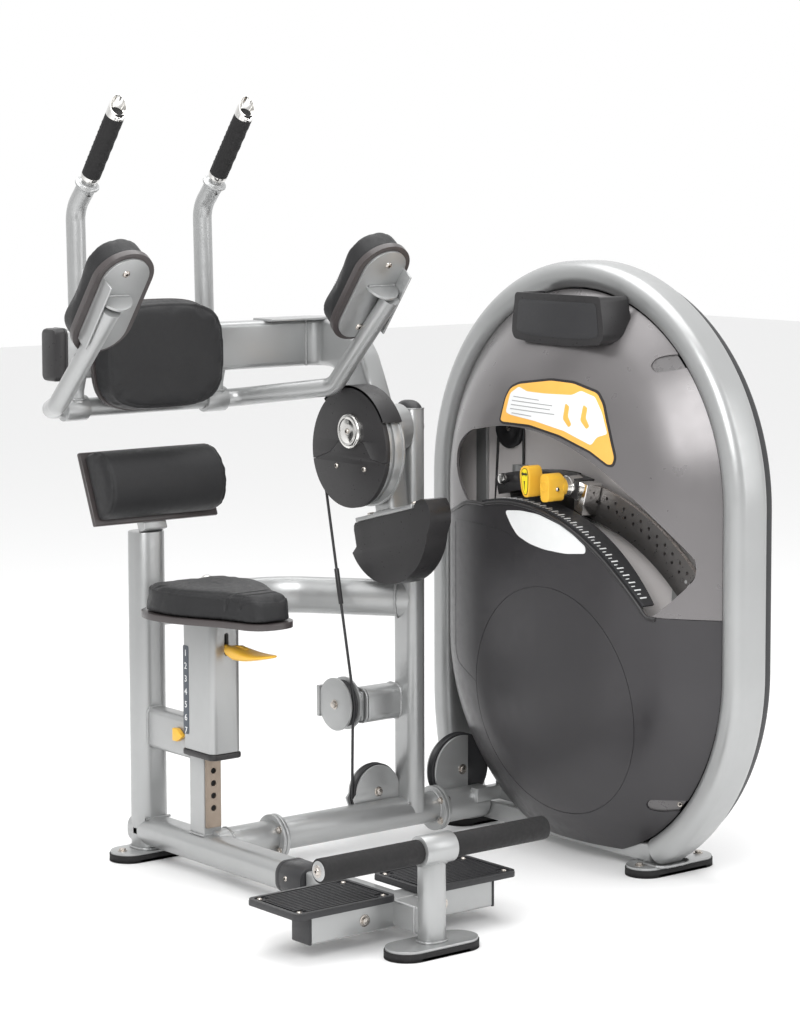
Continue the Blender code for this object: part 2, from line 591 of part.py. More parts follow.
def make_arm():
    """Box tube behind the shoulders that turns forward, then down past the hub to the flange."""
    level = [Vector((BOX_END, BOX_Y, BOX_Z))]
    sections = [(level[0], Vector((0, 1, 0)), Vector((1, 0, 0)), BOX_HIGH, BOX_DEEP)]
    bend = 0.050
    for k in range(5):
        angle = math.radians(90 * k / 4)
        spot = Vector((ARM_X - bend + bend * math.sin(angle), BOX_Y - bend + bend * math.cos(angle), BOX_Z))
        out = Vector((math.sin(angle), math.cos(angle), 0))
        ahead = Vector((math.cos(angle), -math.sin(angle), 0))
        sections.append((spot, out, ahead, BOX_HIGH, BOX_DEEP))
    drop = 0.105
    start_y = BOX_Y - bend - 0.010
    out = Vector((1, 0, 0))
    for k in range(1, 6):
        angle = math.radians(62 * k / 5)
        spot = Vector((ARM_X, start_y - drop * math.sin(angle), BOX_Z - drop * (1 - math.cos(angle))))
        sections.append((spot, out, Vector((0, -math.cos(angle), -math.sin(angle))), 0.100 - 0.001 * k, 0.052))
    for y, z, lean, high in ((-0.193, 0.925, 66, 0.094), (-0.229, 0.835, 72, 0.088),
                             (-0.252, 0.765, 76, 0.066), (-0.2650, 0.7120, 76, 0.060)):
        angle = math.radians(lean)
        sections.append((Vector((ARM_X, y, z)), out, Vector((0, -math.cos(angle), -math.sin(angle))),
                         high, 0.052))
    arm = loft("arm_frame", [arm_section(*s, 0.012) for s in sections])
    boss = rod("boss", 0.050, (0.4035, HUB_Y, HUB_Z), (0.4765, HUB_Y, HUB_Z), 28)
    lean = Matrix.Rotation(math.radians(-FLANGE_LEAN), 3, "X")
    flange = block("flange", (0.062, 0.196, 0.009), FLANGE_MID, 0.002, turn=lean)
    gusset = plate("gusset", [[(0.285, -0.050), (0.400, -0.062), (0.455, -0.030), (0.420, 0.016),
                               (0.285, 0.018)]], 0.005, "Z", (0, 0, BOX_Z + BOX_HIGH / 2 + 0.0015))
    pieces = [boss, flange, gusset]
    for side in (-1, 1):
        sleeve = rod("sleeve", PAD_TUBE_R + 0.007, (side * 0.195, PAD_TUBE_Y, PAD_TUBE_Z),
                     (side * 0.143, PAD_TUBE_Y, PAD_TUBE_Z))
        neck = tube_block("neck", (0.026, 0.034, 0.060), (side * 0.169, PAD_TUBE_Y - 0.003, 0.985), "Z",
                          0.010)
        pieces += [sleeve, neck]
    arm = fuse(arm, *pieces)
    tools = [rod("bore", 0.0146, (0.30, HUB_Y, HUB_Z), (0.60, HUB_Y, HUB_Z), 20),
             rod("bore", PAD_TUBE_R + 0.0006, (-0.3, PAD_TUBE_Y, PAD_TUBE_Z), (0.3, PAD_TUBE_Y, PAD_TUBE_Z))]
    finish(cut(arm, *tools), SILVER, crunch)

    cap = tube_block("arm_end_cap", (0.030, BOX_DEEP + 0.006, BOX_HIGH + 0.006),
                     (BOX_END - GAP - 0.015, BOX_Y, BOX_Z), "X", 0.014)
    finish(flatten(bevel(cap, 0.004)), BLACK, crunch)


def make_counterweight():
    """Half-round cast weight bolted under the arm's flange."""
    outline = [(0.104, -0.0060), (0.112, -0.0200), (0.112, -0.0560)]
    outline += [(0.136 * math.cos(math.radians(a)), -0.030 - 0.120 * math.sin(math.radians(a)))
                for a in range(18, 163, 12)]
    outline += [(-0.148, -0.0400), (-0.152, -0.0150), (-0.142, 0.0060), (-0.112, 0.0080), (-0.098, -0.0060)]
    turn = Matrix.Rotation(math.radians(-FLANGE_LEAN), 3, "X")
    middle = FLANGE_MID + turn @ Vector((0, 0, -0.0045 - GAP + 0.0060))
    weight = plate("counterweight", [outline], 0.056, "X", middle, 0.012, turn)
    top = FLANGE_MID + turn @ Vector((0, 0, 0.045 - 0.0045 - GAP))
    room = block("room", (0.2, 0.2056, 0.09), top, turn=turn)
    return finish(cut(weight, room), BLACK, crunch)


def drum_outline(radius, count=40):
    """Cable drum: nearly round, a little fuller at the back where the cable leaves it."""
    points = []
    for i in range(count):
        angle = 2 * math.pi * i / count
        reach = radius * drum_radius(angle)
        points.append((DRUM_Y + reach * math.cos(angle), DRUM_Z + reach * math.sin(angle)))
    return points


def make_drum():
    drum = plate("cable_drum", [drum_outline(DRUM_R)], 0.038, "X", (DRUM_X, 0, 0))
    groove_out = plate("groove", [drum_outline(DRUM_R + 0.02), drum_outline(DRUM_R - 0.0075)], 0.0085, "X",
                       (MID_PULLEY.x, 0, 0))
    bore = rod("bore", 0.0146, (0.30, HUB_Y, HUB_Z), (0.60, HUB_Y, HUB_Z), 20)
    finish(cut(drum, groove_out, bore), SILVER, crunch)

    split = [(-0.060, 0.815), (-0.110, 0.8170), (-0.165, 0.8350), (-0.198, 0.8620), (-0.278, 0.8620),
             (-0.305, 0.8300), (-0.345, 0.8250), (-0.420, 0.8330)]
    above = split + [(-0.42, 1.10), (-0.06, 1.10)]
    for name, upper in (("drum_cover_upper", True), ("drum_cover_lower", False)):
        cover = plate(name, [drum_outline(DRUM_R + 0.002)], 0.0115, "X", (0.3557, 0, 0))
        if upper:
            skirt = plate("skirt", [arc((DRUM_Y, DRUM_Z), DRUM_R + 0.0085, 48, 152, 14)
                                    + arc((DRUM_Y, DRUM_Z), DRUM_R + 0.0028, 152, 48, 14)], 0.0485, "X",
                          (0.37425, 0, 0))
            join = plate("join", [arc((DRUM_Y, DRUM_Z), DRUM_R + 0.0070, 49, 151, 14)
                                  + arc((DRUM_Y, DRUM_Z), DRUM_R - 0.020, 151, 49, 14)], 0.0105, "X",
                         (0.3560, 0, 0))
            cover = fuse(cover, skirt, join)
            lower = plate("lower", [[(y, z + GAP) for y, z in split] + [(-0.46, 0.60), (0.0, 0.60)]],
                          0.2, "X", (0.38, 0, 0))
            cover = cut(cover, lower)
        else:
            cover = cut(cover, plate("above", [above], 0.2, "X", (0.38, 0, 0)))
        bore = rod("bore", 0.0146, (0.30, HUB_Y, HUB_Z), (0.60, HUB_Y, HUB_Z), 20)
        finish(cut(cover, bore), BLACK, crunch)
    profile = [(0.0, 0.0105), (0.026, 0.0105), (0.034, 0.0080), (0.0365, 0.0030), (0.0365, 0.0), (0.0, 0.0)]
    face = 0.3557 - 0.00575 - GAP
    cap = turned("hub_cap", profile, (face, HUB_Y, HUB_Z), (-1, 0, 0), 28)
    well = rod("well", 0.0146, (face + 0.01, HUB_Y, HUB_Z), (face - 0.0060, HUB_Y, HUB_Z), 20)
    return finish(cut(cap, well), CHROME, crunch)


def make_handles():
    for side, name in ((-1, "right"), (1, "left")):
        x = side * HANDLE_X
        bottom = BOX_Z + BOX_HIGH / 2 + GAP
        way = Vector((0, -0.140, 0.180)).normalized()
        collar = Vector((x, -0.031, 1.388))
        path = bent_path([(x, 0.004, bottom), (x, 0.0105, 1.345), tuple(collar)], [0.060], 4)
        handle = pipe("handle_" + name, path, 0.0195, 8)
        bar = rod("bar", 0.0125, collar - way * 0.01, collar + way * 0.2180, 16)
        handle = fuse(handle, bar)
        finish(handle, SILVER, crunch)
        profile = [(0.0129, 0.150), (0.0185, 0.150), (0.0192, 0.147), (0.0192, 0.003), (0.0185, 0.0),
                   (0.0129, 0.0), (0.0129, 0.150)]
        grip = turned("grip_" + name, profile, collar + way * 0.030, way, 20)
        finish(grip, RUBBER, crunch)


def make_back_pad():
    front = BOX_Y - BOX_DEEP / 2
    pad = plate("back_cushion", [rounded_rect(0.151, 0.117, 0.062, 6)], 0.062, "Y",
                (0, front - GAP - 0.031, BACK_PAD_Z), 0.014)
    return finish(pad, VINYL, crunch)


def make_pad_frame():
    """Bent tube under the box tube that carries both arm pads and turns in its two sleeves."""
    half = [(0.0, PAD_TUBE_Y, PAD_TUBE_Z), (0.222, PAD_TUBE_Y, PAD_TUBE_Z), (0.330, -0.205, 0.975),
            (0.330, -0.399, 1.166)]
    right = bent_path(half, [0.050, 0.045], 5)
    left = [Vector((-p.x, p.y, p.z)) for p in reversed(right[1:])]
    frame = pipe("pad_frame", left + right, PAD_TUBE_R, 5)
    turn = arm_pad_turn()
    keep_off = [block("keep_off", (0.2, 0.08, 0.249), arm_pad_place(side, 0.040 - GAP, 0.0), turn=turn)
                for side in (-1, 1)]
    finish(cut(frame, *keep_off), SILVER, pad_axis)

    for side, name in ((-1, "right"), (1, "left")):
        face = plate("arm_plate_" + name, [stadium(0.112, 0.050, 8, True)], 0.005, "Y",
                     arm_pad_place(side, 0.0025, 0.0), 0.0, turn)
        lip = block("lip", (0.004, 0.032, 0.130), arm_pad_place(side, -0.013, 0.0) + Vector((side * 0.0475, 0, 0)),
                    turn=turn)
        shelf = block("shelf", (0.070, 0.042, 0.005), arm_pad_place(side, -0.019, 0.0200) +
                      Vector((side * 0.010, 0, 0)), turn=turn)
        finish(fuse(face, lip, shelf), SILVER, pad_axis)
        cushion = plate("arm_cushion_" + name, [stadium(0.122, 0.064, 7, True)], 0.066, "Y",
                        arm_pad_place(side, 0.005 + GAP + 0.033, 0.0), 0.012, turn)
        finish(cushion, VINYL, pad_axis)


def arm_pad_turn():
    return Matrix.Rotation(ARM_PAD_LEAN, 3, "X")


def arm_pad_place(side, back, along):
    """A point on an arm pad: back from the plate's front face towards the user, and along it."""
    middle = Vector((side * ARM_PAD.x, ARM_PAD.y, ARM_PAD.z))
    return middle + arm_pad_turn() @ Vector((0.0, back, along))


# ---------------------------------------------------------------- pulleys and cable
def pulley(name, centre, direction, radius, wide, bore, look, steps=28):
    """Grooved wheel: outer radius, width and bore."""
    half = wide / 2
    deep = radius - 0.006
    profile = [(bore, half), (radius - 0.002, half), (radius, half - 0.002), (deep, 0.0015), (deep, -0.0015),
               (radius, 0.002 - half), (radius - 0.002, -half), (bore, -half), (bore, half)]
    wheel = turned(name, profile, centre, direction, steps)
    return finish(wheel, look, base, axis=centre)


def make_pulleys():
    pulley("mid_pulley", MID_PULLEY, (1, 0, 0), 0.0500, 0.018, 0.0063, BLACK)
    plates = []
    for side in (-1, 1):
        x = MID_PULLEY.x + side * 0.0130
        plates.append(rod("mid_pulley_bracket", 0.0560, (x - 0.0025, *MID_PULLEY.yz), (x + 0.0025, *MID_PULLEY.yz), 32))
    bolt = rod("bolt", 0.0060, MID_PULLEY - Vector((0.0190, 0, 0)), MID_PULLEY + Vector((0.0170, 0, 0)), 12)
    bridge = block("bridge", (0.033, 0.010, 0.066), MID_PULLEY + Vector((-0.0005, 0.0570, 0)), 0.001)
    reach = block("reach", (0.0055, 0.050, 0.060), MID_PULLEY + Vector((0.0173, -0.030, 0)), 0.001)
    finish(fuse(plates[0], plates[1], bolt, bridge, reach), SILVER, base)

    pulley("base_pulley", LOW_PULLEY, (0, 1, 0), 0.0590, 0.018, 0.0063, BLACK)
    cheeks = []
    saddle = rod("saddle", CROSS_R + GAP, (0.2, CROSS_Y, CROSS_Z), (0.6, CROSS_Y, CROSS_Z), 24)
    post = tube_block("post", (PIVOT_X + 2 * GAP, PIVOT_Y + 2 * GAP, 0.5), (PIVOT_POST_X, CROSS_Y, 0.2),
                      "Z", 0.018, 4)
    for side in (-1, 1):
        outline = arc((LOW_PULLEY.x, LOW_PULLEY.z), 0.0560, 0, 180, 14)
        outline += [(LOW_PULLEY.x - 0.064, 0.1040), (LOW_PULLEY.x - 0.055, 0.0800), (LOW_PULLEY.x + 0.056, 0.0800)]
        cheeks.append(plate("base_pulley_bracket", [outline], 0.005, "Y", (0, CABLE_Y + side * 0.0130, 0)))
    bolt = rod("bolt", 0.0060, LOW_PULLEY - Vector((0, 0.0190, 0)), LOW_PULLEY + Vector((0, 0.0190, 0)), 12)
    finish(cut(fuse(cheeks[0], cheeks[1], bolt), saddle, post), SILVER, base)

    pulley("tower_pulley", BIG_PULLEY, (0, 1, 0), 0.0780, 0.018, 0.0083, BLACK, 36)
    pulley("guide_pulley", TOP_PULLEY, (1, 0, 0), 0.0430, 0.016, 0.0063, BLACK, 24)



def drum_radius(angle):
    return 1.0 + 0.05 * max(0.0, math.cos(angle + math.radians(28))) ** 3


def wheel_arc(centre, radius, plane, first, last, count=8):
    """Points round a pulley; plane is YZ or XZ, angles in degrees from the first letter's axis."""
    points = []
    for a, b in arc((0.0, 0.0), radius, first, last, count):
        if plane == "YZ":
            points.append(Vector(centre) + Vector((0, a, b)))
        else:
            points.append(Vector(centre) + Vector((a, 0, b)))
    return points


def make_cable():
    """One steel cable: cam, middle pulley, down, along the base tube, up and over in the tower."""
    ride = CABLE_R + 0.0009
    path = []
    for step in range(9):
        angle = math.radians(62 - step * 9.5)
        reach = (DRUM_R - 0.0075) * drum_radius(angle) + ride + 0.0006
        path.append(Vector((MID_PULLEY.x, DRUM_Y + reach * math.cos(angle), DRUM_Z + reach * math.sin(angle))))
    path.append(Vector((MID_PULLEY.x, -0.1165, 0.7700)))
    path += wheel_arc(MID_PULLEY, 0.0440 + ride, "YZ", 168, 200, 5)
    path.append(Vector((MID_PULLEY.x, CABLE_Y, 0.250)))
    low = 0.0530 + ride
    path.append(Vector((LOW_PULLEY.x - low, CABLE_Y, 0.160)))
    path += wheel_arc(LOW_PULLEY, low, "XZ", 180, 270, 8)
    big = 0.0720 + ride
    path += wheel_arc(BIG_PULLEY, big, "XZ", 270, 359, 12)
    path.append(Vector((TOP_PULLEY.x, TOP_PULLEY.y + 0.0370 + ride, TOP_PULLEY.z - 0.002)))
    path += wheel_arc(TOP_PULLEY, 0.0370 + ride, "YZ", 8, 180, 10)
    path.append(Vector((TOP_PULLEY.x, TOP_PULLEY.y - 0.0370 - ride, 0.8010)))
    return finish(pipe("cable", path, CABLE_R, 2), BLACK, base)


# ---------------------------------------------------------------- weight tower
def hoop_path():
    """Middle line of the hoop in Y, Z: up the front leg, over, and down the rear leg."""
    middle = RING_OUT - RING_WIDE / 2
    path = arc((RING_Y, RING_LOW_Z), middle, 239, 180, 6)
    path += arc((RING_Y, RING_TOP_Z), middle, 180, 0, 18)
    bend = 0.683
    path += arc((RING_Y + middle - bend, 0.300), bend, 0, -24, 4)
    return path


def make_ring():
    path = hoop_path()
    sections = []
    for i, (y, z) in enumerate(path):
        before = path[max(i - 1, 0)]
        after = path[min(i + 1, len(path) - 1)]
        ahead = Vector((0, after[0] - before[0], after[1] - before[1])).normalized()
        out = ahead.cross(Vector((1, 0, 0)))
        ring = rounded_rect(RING_DEEP / 2, RING_WIDE / 2, 0.024, 3)
        sections.append([Vector((RING_X, y, z)) + Vector((1, 0, 0)) * a + out * b for a, b in ring])
    low = FLOOR_PAD + GAP
    ring = loft("hoop_frame", sections)
    front = plate("front", [stadium(0.105, 0.040)], FOOT_PLATE, "Z", (TOWER_FOOT_X, -0.770, low + FOOT_PLATE / 2))
    rear = plate("rear", [stadium(0.105, 0.040)], FOOT_PLATE, "Z", (TOWER_FOOT_X, -0.180, low + FOOT_PLATE / 2))
    beam = block("beam", (0.055, 0.600, 0.0395), (0.7305, -0.470, 0.0400), 0.004)
    bar = block("bar", (0.022, 0.150, 0.040), (RING_X + 0.004, WEIGHT_PIVOT[0] - 0.060, WEIGHT_PIVOT[1]), 0.003)
    pin = rod("pin", 0.0120, (0.665, *WEIGHT_PIVOT), (RING_X, *WEIGHT_PIVOT), 20)
    ring = fuse(ring, front, rear, beam, bar, pin)
    under = block("under", (1.0, 1.6, 0.20), (RING_X, -0.5, low - 0.10))
    return finish(cut(ring, under), SILVER, base)


def make_tower_frame():
    """Flanged stub with the tower pulley, and the upright that carries the guide pulley."""
    face = RIGHT_FLANGE_X + GAP / 2
    stub = rod("tower_frame", 0.0350, (face + 0.002, CROSS_Y, 0.0585), (0.6995, CROSS_Y, 0.0585), 28)
    flange = rod("flange", FLANGE_R, (face, CROSS_Y, CROSS_Z - 0.004), (face + 0.008, CROSS_Y, CROSS_Z - 0.004), 28)
    foot = block("foot", (0.085, 0.022, 0.030), (0.7000, -0.2630, 0.0790), 0.002)
    upright = block("upright", (0.018, 0.070, 0.838), (0.7330, -0.2900, 0.4810), 0.003)
    head = block("head", (0.018, 0.090, 0.110), (0.7330, -0.3050, 0.8500), 0.003)
    axle = rod("axle", 0.0060, (0.6950, *TOP_PULLEY.yz), (0.7300, *TOP_PULLEY.yz), 16)
    pieces = [flange, foot, upright, head, axle]
    for side in (-1, 1):
        y = CABLE_Y + side * 0.0135
        outline = arc((BIG_PULLEY.x, BIG_PULLEY.z), 0.0735, 78, 232, 20)
        outline += [(BIG_PULLEY.x - 0.045, 0.072), (BIG_PULLEY.x + 0.015, 0.072)]
        pieces.append(plate("cheek", [outline], 0.0055, "Y", (0, y, 0)))
    room = block("room", (0.128, 0.0215, 0.20), (0.6405, CABLE_Y, 0.1480))
    mouth = block("mouth", (0.03, 0.012, 0.014), (0.5860, CABLE_Y, 0.0580))
    frame = cut(fuse(stub, *pieces), room, mouth)
    shaft = rod("shaft", 0.0080, (BIG_PULLEY.x, CABLE_Y - 0.0200, BIG_PULLEY.z),
                (BIG_PULLEY.x, CABLE_Y + 0.0200, BIG_PULLEY.z), 16)
    return finish(fuse(frame, shaft), SILVER, base)


def oblong(x, half, count=12):
    """Upright outline with round ends, the same shape as the hoop, as points at one x."""
    points = [(RING_Y + a, RING_TOP_Z + b) for a, b in arc((0, 0), half, 0, 180, count)]
    points += [(RING_Y + a, RING_LOW_Z + b) for a, b in arc((0, 0), half, 180, 360, count)]
    return [(x, y, z) for y, z in points]


def dome(name, inward, beyond):
    """Solid bulge of the front cover, shrunk by a wall thickness and carried on past its rim."""
    rings = [oblong(DOME[0][0] + beyond, DOME[0][1] - inward * 0.9 + 0.3 * beyond)] if beyond else []
    rings += [oblong(x + inward, half - inward * 0.9) for x, half in DOME]
    return loft(name, rings)


def window_outline():
    points = arc(WINDOW_LOW[0], WINDOW_LOW[1], 75.4, 143.4, 14)
    points += [(-0.858, 0.547), (-0.872, 0.551), (-0.899, 0.577), (-0.932, 0.616), (-0.940, 0.640)]
    points += arc(WINDOW_TOP[0], WINDOW_TOP[1], 143.9, 85.2, 14)
    return points + [(-0.363, 0.884), (-0.321, 0.875), (-0.275, 0.845), (-0.265, 0.806), (-0.284, 0.767),
                     (-0.327, 0.728)]


def make_shells():
    front = dome("front_shell", 0.0, 0.0)
    inner = dome("inner", 0.0050, 0.010)
    window = plate("window", [window_outline()], 0.30, "X", (0.640, 0, 0))
    low = block("low", (0.5, 1.5, 0.10), (0.640, RING_Y, -0.0150))
    notch = block("notch", (0.16, 0.080, 0.50), (0.680, -0.2150, -0.0140))
    finish(cut(front, inner, window, low, notch), SHELL, base, 30.0)

    outer = loft("rear_shell", [oblong(0.7756, 0.462), oblong(0.7900, 0.462), oblong(0.8060, 0.440),
                                oblong(0.8150, 0.395)])
    inner = loft("inner", [oblong(0.7700, 0.458), oblong(0.7885, 0.458), oblong(0.8025, 0.436),
                           oblong(0.8110, 0.391)])
    low = block("low", (0.5, 1.5, 0.10), (0.79, RING_Y, -0.0150))
    finish(cut(outer, inner, low), DARK, base, 30.0)

    band = arc(WINDOW_LOW[0], WINDOW_LOW[1] + 0.0072, 76.0, 142.5, 20)
    band += arc(WINDOW_LOW[0], WINDOW_LOW[1] + 0.0012, 142.5, 76.0, 20)
    band = plate("scale_band", [band], 0.036, "X", (0.6180, 0, 0))
    finish(band, DARK, base)

    tray = block("tray", (0.076, 0.270, 0.104), (0.6460, -0.588, 1.120), 0.014, 3)
    hollow = block("hollow", (0.090, 0.250, 0.110), (0.6620, -0.588, 1.156), 0.010, 3)
    away = dome("away", -0.0006, 0.060)
    return finish(cut(tray, hollow, away), DARK, base)


def make_weight_arm():
    rail = arc(RAIL_CENTRE, RAIL_OUT, 73, 133.4, 24) + arc(RAIL_CENTRE, RAIL_IN, 133.4, 73, 24)
    rail = plate("weight_arm", [rail], 0.008, "X", (RAIL_X, 0, 0), 0.001)
    hub = rod("hub", 0.030, (0.6680, *WEIGHT_PIVOT), (0.7000, *WEIGHT_PIVOT), 24)
    far = (-0.4900, 0.7250)
    pieces = [hub]
    for start, end, wide in (((-0.860, 0.350), (-0.880, 0.620), 0.050), ((-0.830, 0.335), far, 0.050),
                             ((-0.830, 0.340), (-0.395, 0.475), 0.050), ((-0.415, 0.470), (-0.380, 0.720), 0.046)):
        way = Vector((0, end[0] - start[0], end[1] - start[1]))
        tilt = Matrix.Rotation(math.atan2(way.z, way.y), 3, "X")
        middle = (RAIL_X, (start[0] + end[0]) / 2, (start[1] + end[1]) / 2)
        pieces.append(block("bar", (0.0076, way.length, wide), middle, turn=tilt))
    lug = block("lug", (0.0215, 0.028, 0.046), (0.69625, -0.3712, 0.7780), 0.001)
    bore = rod("bore", 0.0126, (0.6, *WEIGHT_PIVOT), (0.8, *WEIGHT_PIVOT), 20)
    finish(cut(fuse(rail, lug, *pieces), bore), CHROME, weight_axis)

    stack = rod("weight_plates", 0.095, (0.6250, -0.470, 0.500), (0.6816, -0.470, 0.500), 32)
    finish(flatten(bevel(stack, 0.004)), BLACK, weight_axis)


def polar(radius, degrees):
    """A point in Y, Z at a radius and angle from the middle of the curved rail."""
    angle = math.radians(degrees)
    return (RAIL_CENTRE[0] + radius * math.cos(angle), RAIL_CENTRE[1] + radius * math.sin(angle))


def make_carriage():
    """Slider that grips the curved rail over its outer edge, with a barrel and a curved pointer."""
    front = RAIL_X - 0.0045
    outline = arc(RAIL_CENTRE, 0.6000, 74.5, 100, 8) + arc(RAIL_CENTRE, 0.5600, 100, 74.5, 8)
    body_block = plate("carriage", [outline], 0.0430, "X", (front - 0.0215, 0, 0))
    outline = arc(RAIL_CENTRE, 0.5980, 80, 94, 6) + arc(RAIL_CENTRE, 0.5895, 94, 80, 6)
    bridge = plate("bridge", [outline], 0.0360, "X", (front + 0.0010, 0, 0))
    outline = arc(RAIL_CENTRE, 0.5985, 80.5, 93.5, 6) + arc(RAIL_CENTRE, 0.5605, 93.5, 80.5, 6)
    behind = plate("behind", [outline], 0.0080, "X", (front + 0.0155, 0, 0))
    outline = arc(RAIL_CENTRE, 0.5970, 99, 102.5, 4) + arc(RAIL_CENTRE, 0.5300, 102.5, 99, 4)
    pointer = plate("pointer", [outline], 0.0400, "X", (front - 0.0215, 0, 0))
    barrel = rod("barrel", 0.0200, (front - 0.020, *polar(0.583, 97.5)), (0.6060, *polar(0.583, 97.5)), 24)
    stem = rod("stem", 0.0080, (front - 0.020, *polar(0.588, 78)), (0.6220, *polar(0.588, 78)), 16)
    bolt = rod("bolt", 0.0120, (0.6200, *polar(0.588, 78)), (0.6280, *polar(0.588, 78)), 20)
    finish(fuse(body_block, bridge, behind, pointer, barrel, stem, bolt), STEEL, carriage_axis)

    y, z = polar(0.583, 97.5)
    grip = plate("carriage_grip", [[(y - 0.022, z - 0.028), (y + 0.004, z - 0.030), (y + 0.006, z + 0.024),
                                    (y - 0.006, z + 0.030), (y - 0.020, z + 0.024)]], 0.0400, "X",
                 (0.5850, 0, 0), 0.005)
    finish(grip, YELLOW, carriage_axis)
    y, z = polar(0.590, 92.5)
    outline = [(y - 0.008, z - 0.034), (y + 0.006, z - 0.034), (y + 0.014, z - 0.020), (y + 0.018, z + 0.010),
               (y + 0.016, z + 0.024), (y + 0.004, z + 0.032), (y - 0.006, z + 0.030)]
    trigger = plate("squeeze_trigger", [outline], 0.0340, "X", (0.5800, 0, 0), 0.005)
    return finish(trigger, YELLOW, carriage_axis, axis=(0.580, -0.544, 0.792))


# ---------------------------------------------------------------- build
make_rear_frame()
make_foot_pad("rear_foot_pad", (0, 0), 0.090, 0.042)
make_side_tube_cap()
make_curved_beam()
make_lumbar_pad()
make_cross_frame()
make_pivot_shaft()
make_seat()
make_footrest()
make_foot_pad("footrest_pad", (0, -0.942), 0.100, 0.044)
make_arm()
make_counterweight()
make_drum()
make_handles()
make_back_pad()
make_pad_frame()
make_pulleys()
make_cable()
make_ring()
make_foot_pad("tower_front_pad", (TOWER_FOOT_X, -0.770), 0.107, 0.042)
make_foot_pad("tower_rear_pad", (TOWER_FOOT_X, -0.180), 0.107, 0.042)
make_tower_frame()
make_shells()
make_weight_arm()
make_carriage()

for axis in (crunch, seat_axis, weight_axis):
    axis.parent = base
for axis, holder in ((pad_axis, crunch), (carriage_axis, weight_axis)):
    axis.parent = holder
    axis.matrix_parent_inverse = holder.matrix_world.inverted()
base.location = (-ORIGIN_X, -ORIGIN_Y, 0.0)
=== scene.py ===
"""Looks of the ab crunch machine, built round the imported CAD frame.

Shapes are drawn from the foot of the rear post, as the machine is laid out, and moved to the
frame's own origin when each piece is finished.  +X is the tower side; the user faces -Y.
"""
import math

import bmesh
import bpy
from mathutils import Matrix, Vector
from mathutils.bvhtree import BVHTree
from mathutils.kdtree import KDTree


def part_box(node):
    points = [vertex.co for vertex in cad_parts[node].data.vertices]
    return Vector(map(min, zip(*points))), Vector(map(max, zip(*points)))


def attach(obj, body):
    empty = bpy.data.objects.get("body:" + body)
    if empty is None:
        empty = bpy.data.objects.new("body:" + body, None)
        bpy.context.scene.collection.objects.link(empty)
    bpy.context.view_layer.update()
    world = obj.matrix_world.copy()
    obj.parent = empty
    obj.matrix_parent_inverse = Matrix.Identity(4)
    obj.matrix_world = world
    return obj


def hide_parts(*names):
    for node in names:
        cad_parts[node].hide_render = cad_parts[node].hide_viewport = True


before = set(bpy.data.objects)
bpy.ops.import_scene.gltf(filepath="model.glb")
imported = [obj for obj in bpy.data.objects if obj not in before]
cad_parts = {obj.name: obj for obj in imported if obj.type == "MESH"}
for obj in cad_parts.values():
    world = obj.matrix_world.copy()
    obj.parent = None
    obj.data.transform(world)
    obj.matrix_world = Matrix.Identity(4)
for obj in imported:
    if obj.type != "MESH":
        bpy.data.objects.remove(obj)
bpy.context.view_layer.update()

scene = bpy.context.scene


def middle(node):
    low, high = (Vector(corner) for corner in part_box(node))
    return (low + high) / 2


HOME = Vector((*middle("rear_foot_pad").xy, 0.0))       # foot of the rear post, in the frame's axes

SIDES = ((-1, "right"), (1, "left"))                    # the user's right hand is at -X

# ---------------------------------------------------------------- dimensions (metres)
FOOT_TOP = 0.0124                       # top of the rubber feet
FOOT_PLATE = 0.008                      # thickness of the steel foot plates on them
SIDE_TUBE_Z = 0.058
CROSS_Y = -0.235
CROSS_Z = 0.0635
CROSS_R = 0.033
FLANGE_R = 0.048
LEFT_FLANGE_X = 0.150
RIGHT_FLANGE_X = 0.572
PIVOT_POST_X = 0.5045
HUB = Vector((0.0, -0.238, 0.884))
ARM_X = 0.437
DRUM = Vector((0.381, -0.232, 0.848))
DRUM_R = 0.122
BOX_Y = -0.005
BOX_Z = 1.055
ARM_FLANGE = Vector((ARM_X, -0.272, 0.7115))            # plate under the arm that carries the weight
ARM_FLANGE_TURN = Matrix.Rotation(math.radians(-14.0), 3, "X")
HANDLE_X = 0.153
PAD_TUBE_Z = 0.945
ARM_PAD = Vector((0.305, -0.3715, 1.1715))
ARM_PAD_LEAN = math.radians(38.0)
BACK_PAD_Z = 1.048
LUMBAR_LEAN = math.radians(-22.4)
LUMBAR_BACK = Vector((0.0, -0.005, 0.776))
SEAT_BOARD_Z = 0.535
SEAT_TUBE_Y = -0.234
SEAT_HOLES = [0.143 + 0.0254 * k for k in range(7)]     # heights of the holes in the seat's strip
FOOT_BAR = Vector((0.0, -0.950, 0.194))
CROSSBAR_Y = -0.833
CABLE_Y = -0.210
RING_X = 0.730
RING_Y = -0.557
RING_TOP_Z = 0.757
RING_LOW_Z = 0.435
RING_MIDDLE = 0.4515
TOWER_FOOT_X = 0.757
TOWER_FEET_Y = (-0.770, -0.180)
WEIGHT_PIVOT = (-0.850, 0.330)
RAIL_CENTRE = (-0.518, 0.203)
RAIL_X = 0.686
DOME = [(0.5785, 0.0), (0.5800, 0.08), (0.5850, 0.18), (0.5950, 0.25), (0.6150, 0.31), (0.6400, 0.352),
        (0.6700, 0.389), (0.6990, 0.422)]
WINDOW_TOP = ((-0.480, 0.330), 0.567)
WINDOW_LOW = ((-0.485, 0.288), 0.452)


# ---------------------------------------------------------------- materials
MIX_FACTOR, MIX_A, MIX_B = 0, 6, 7      # input sockets of a Mix node set to colours
MIX_RESULT = 2                          # and its output


def link(tree, source, output, target, socket):
    tree.links.new(source.outputs[output], target.inputs[socket])


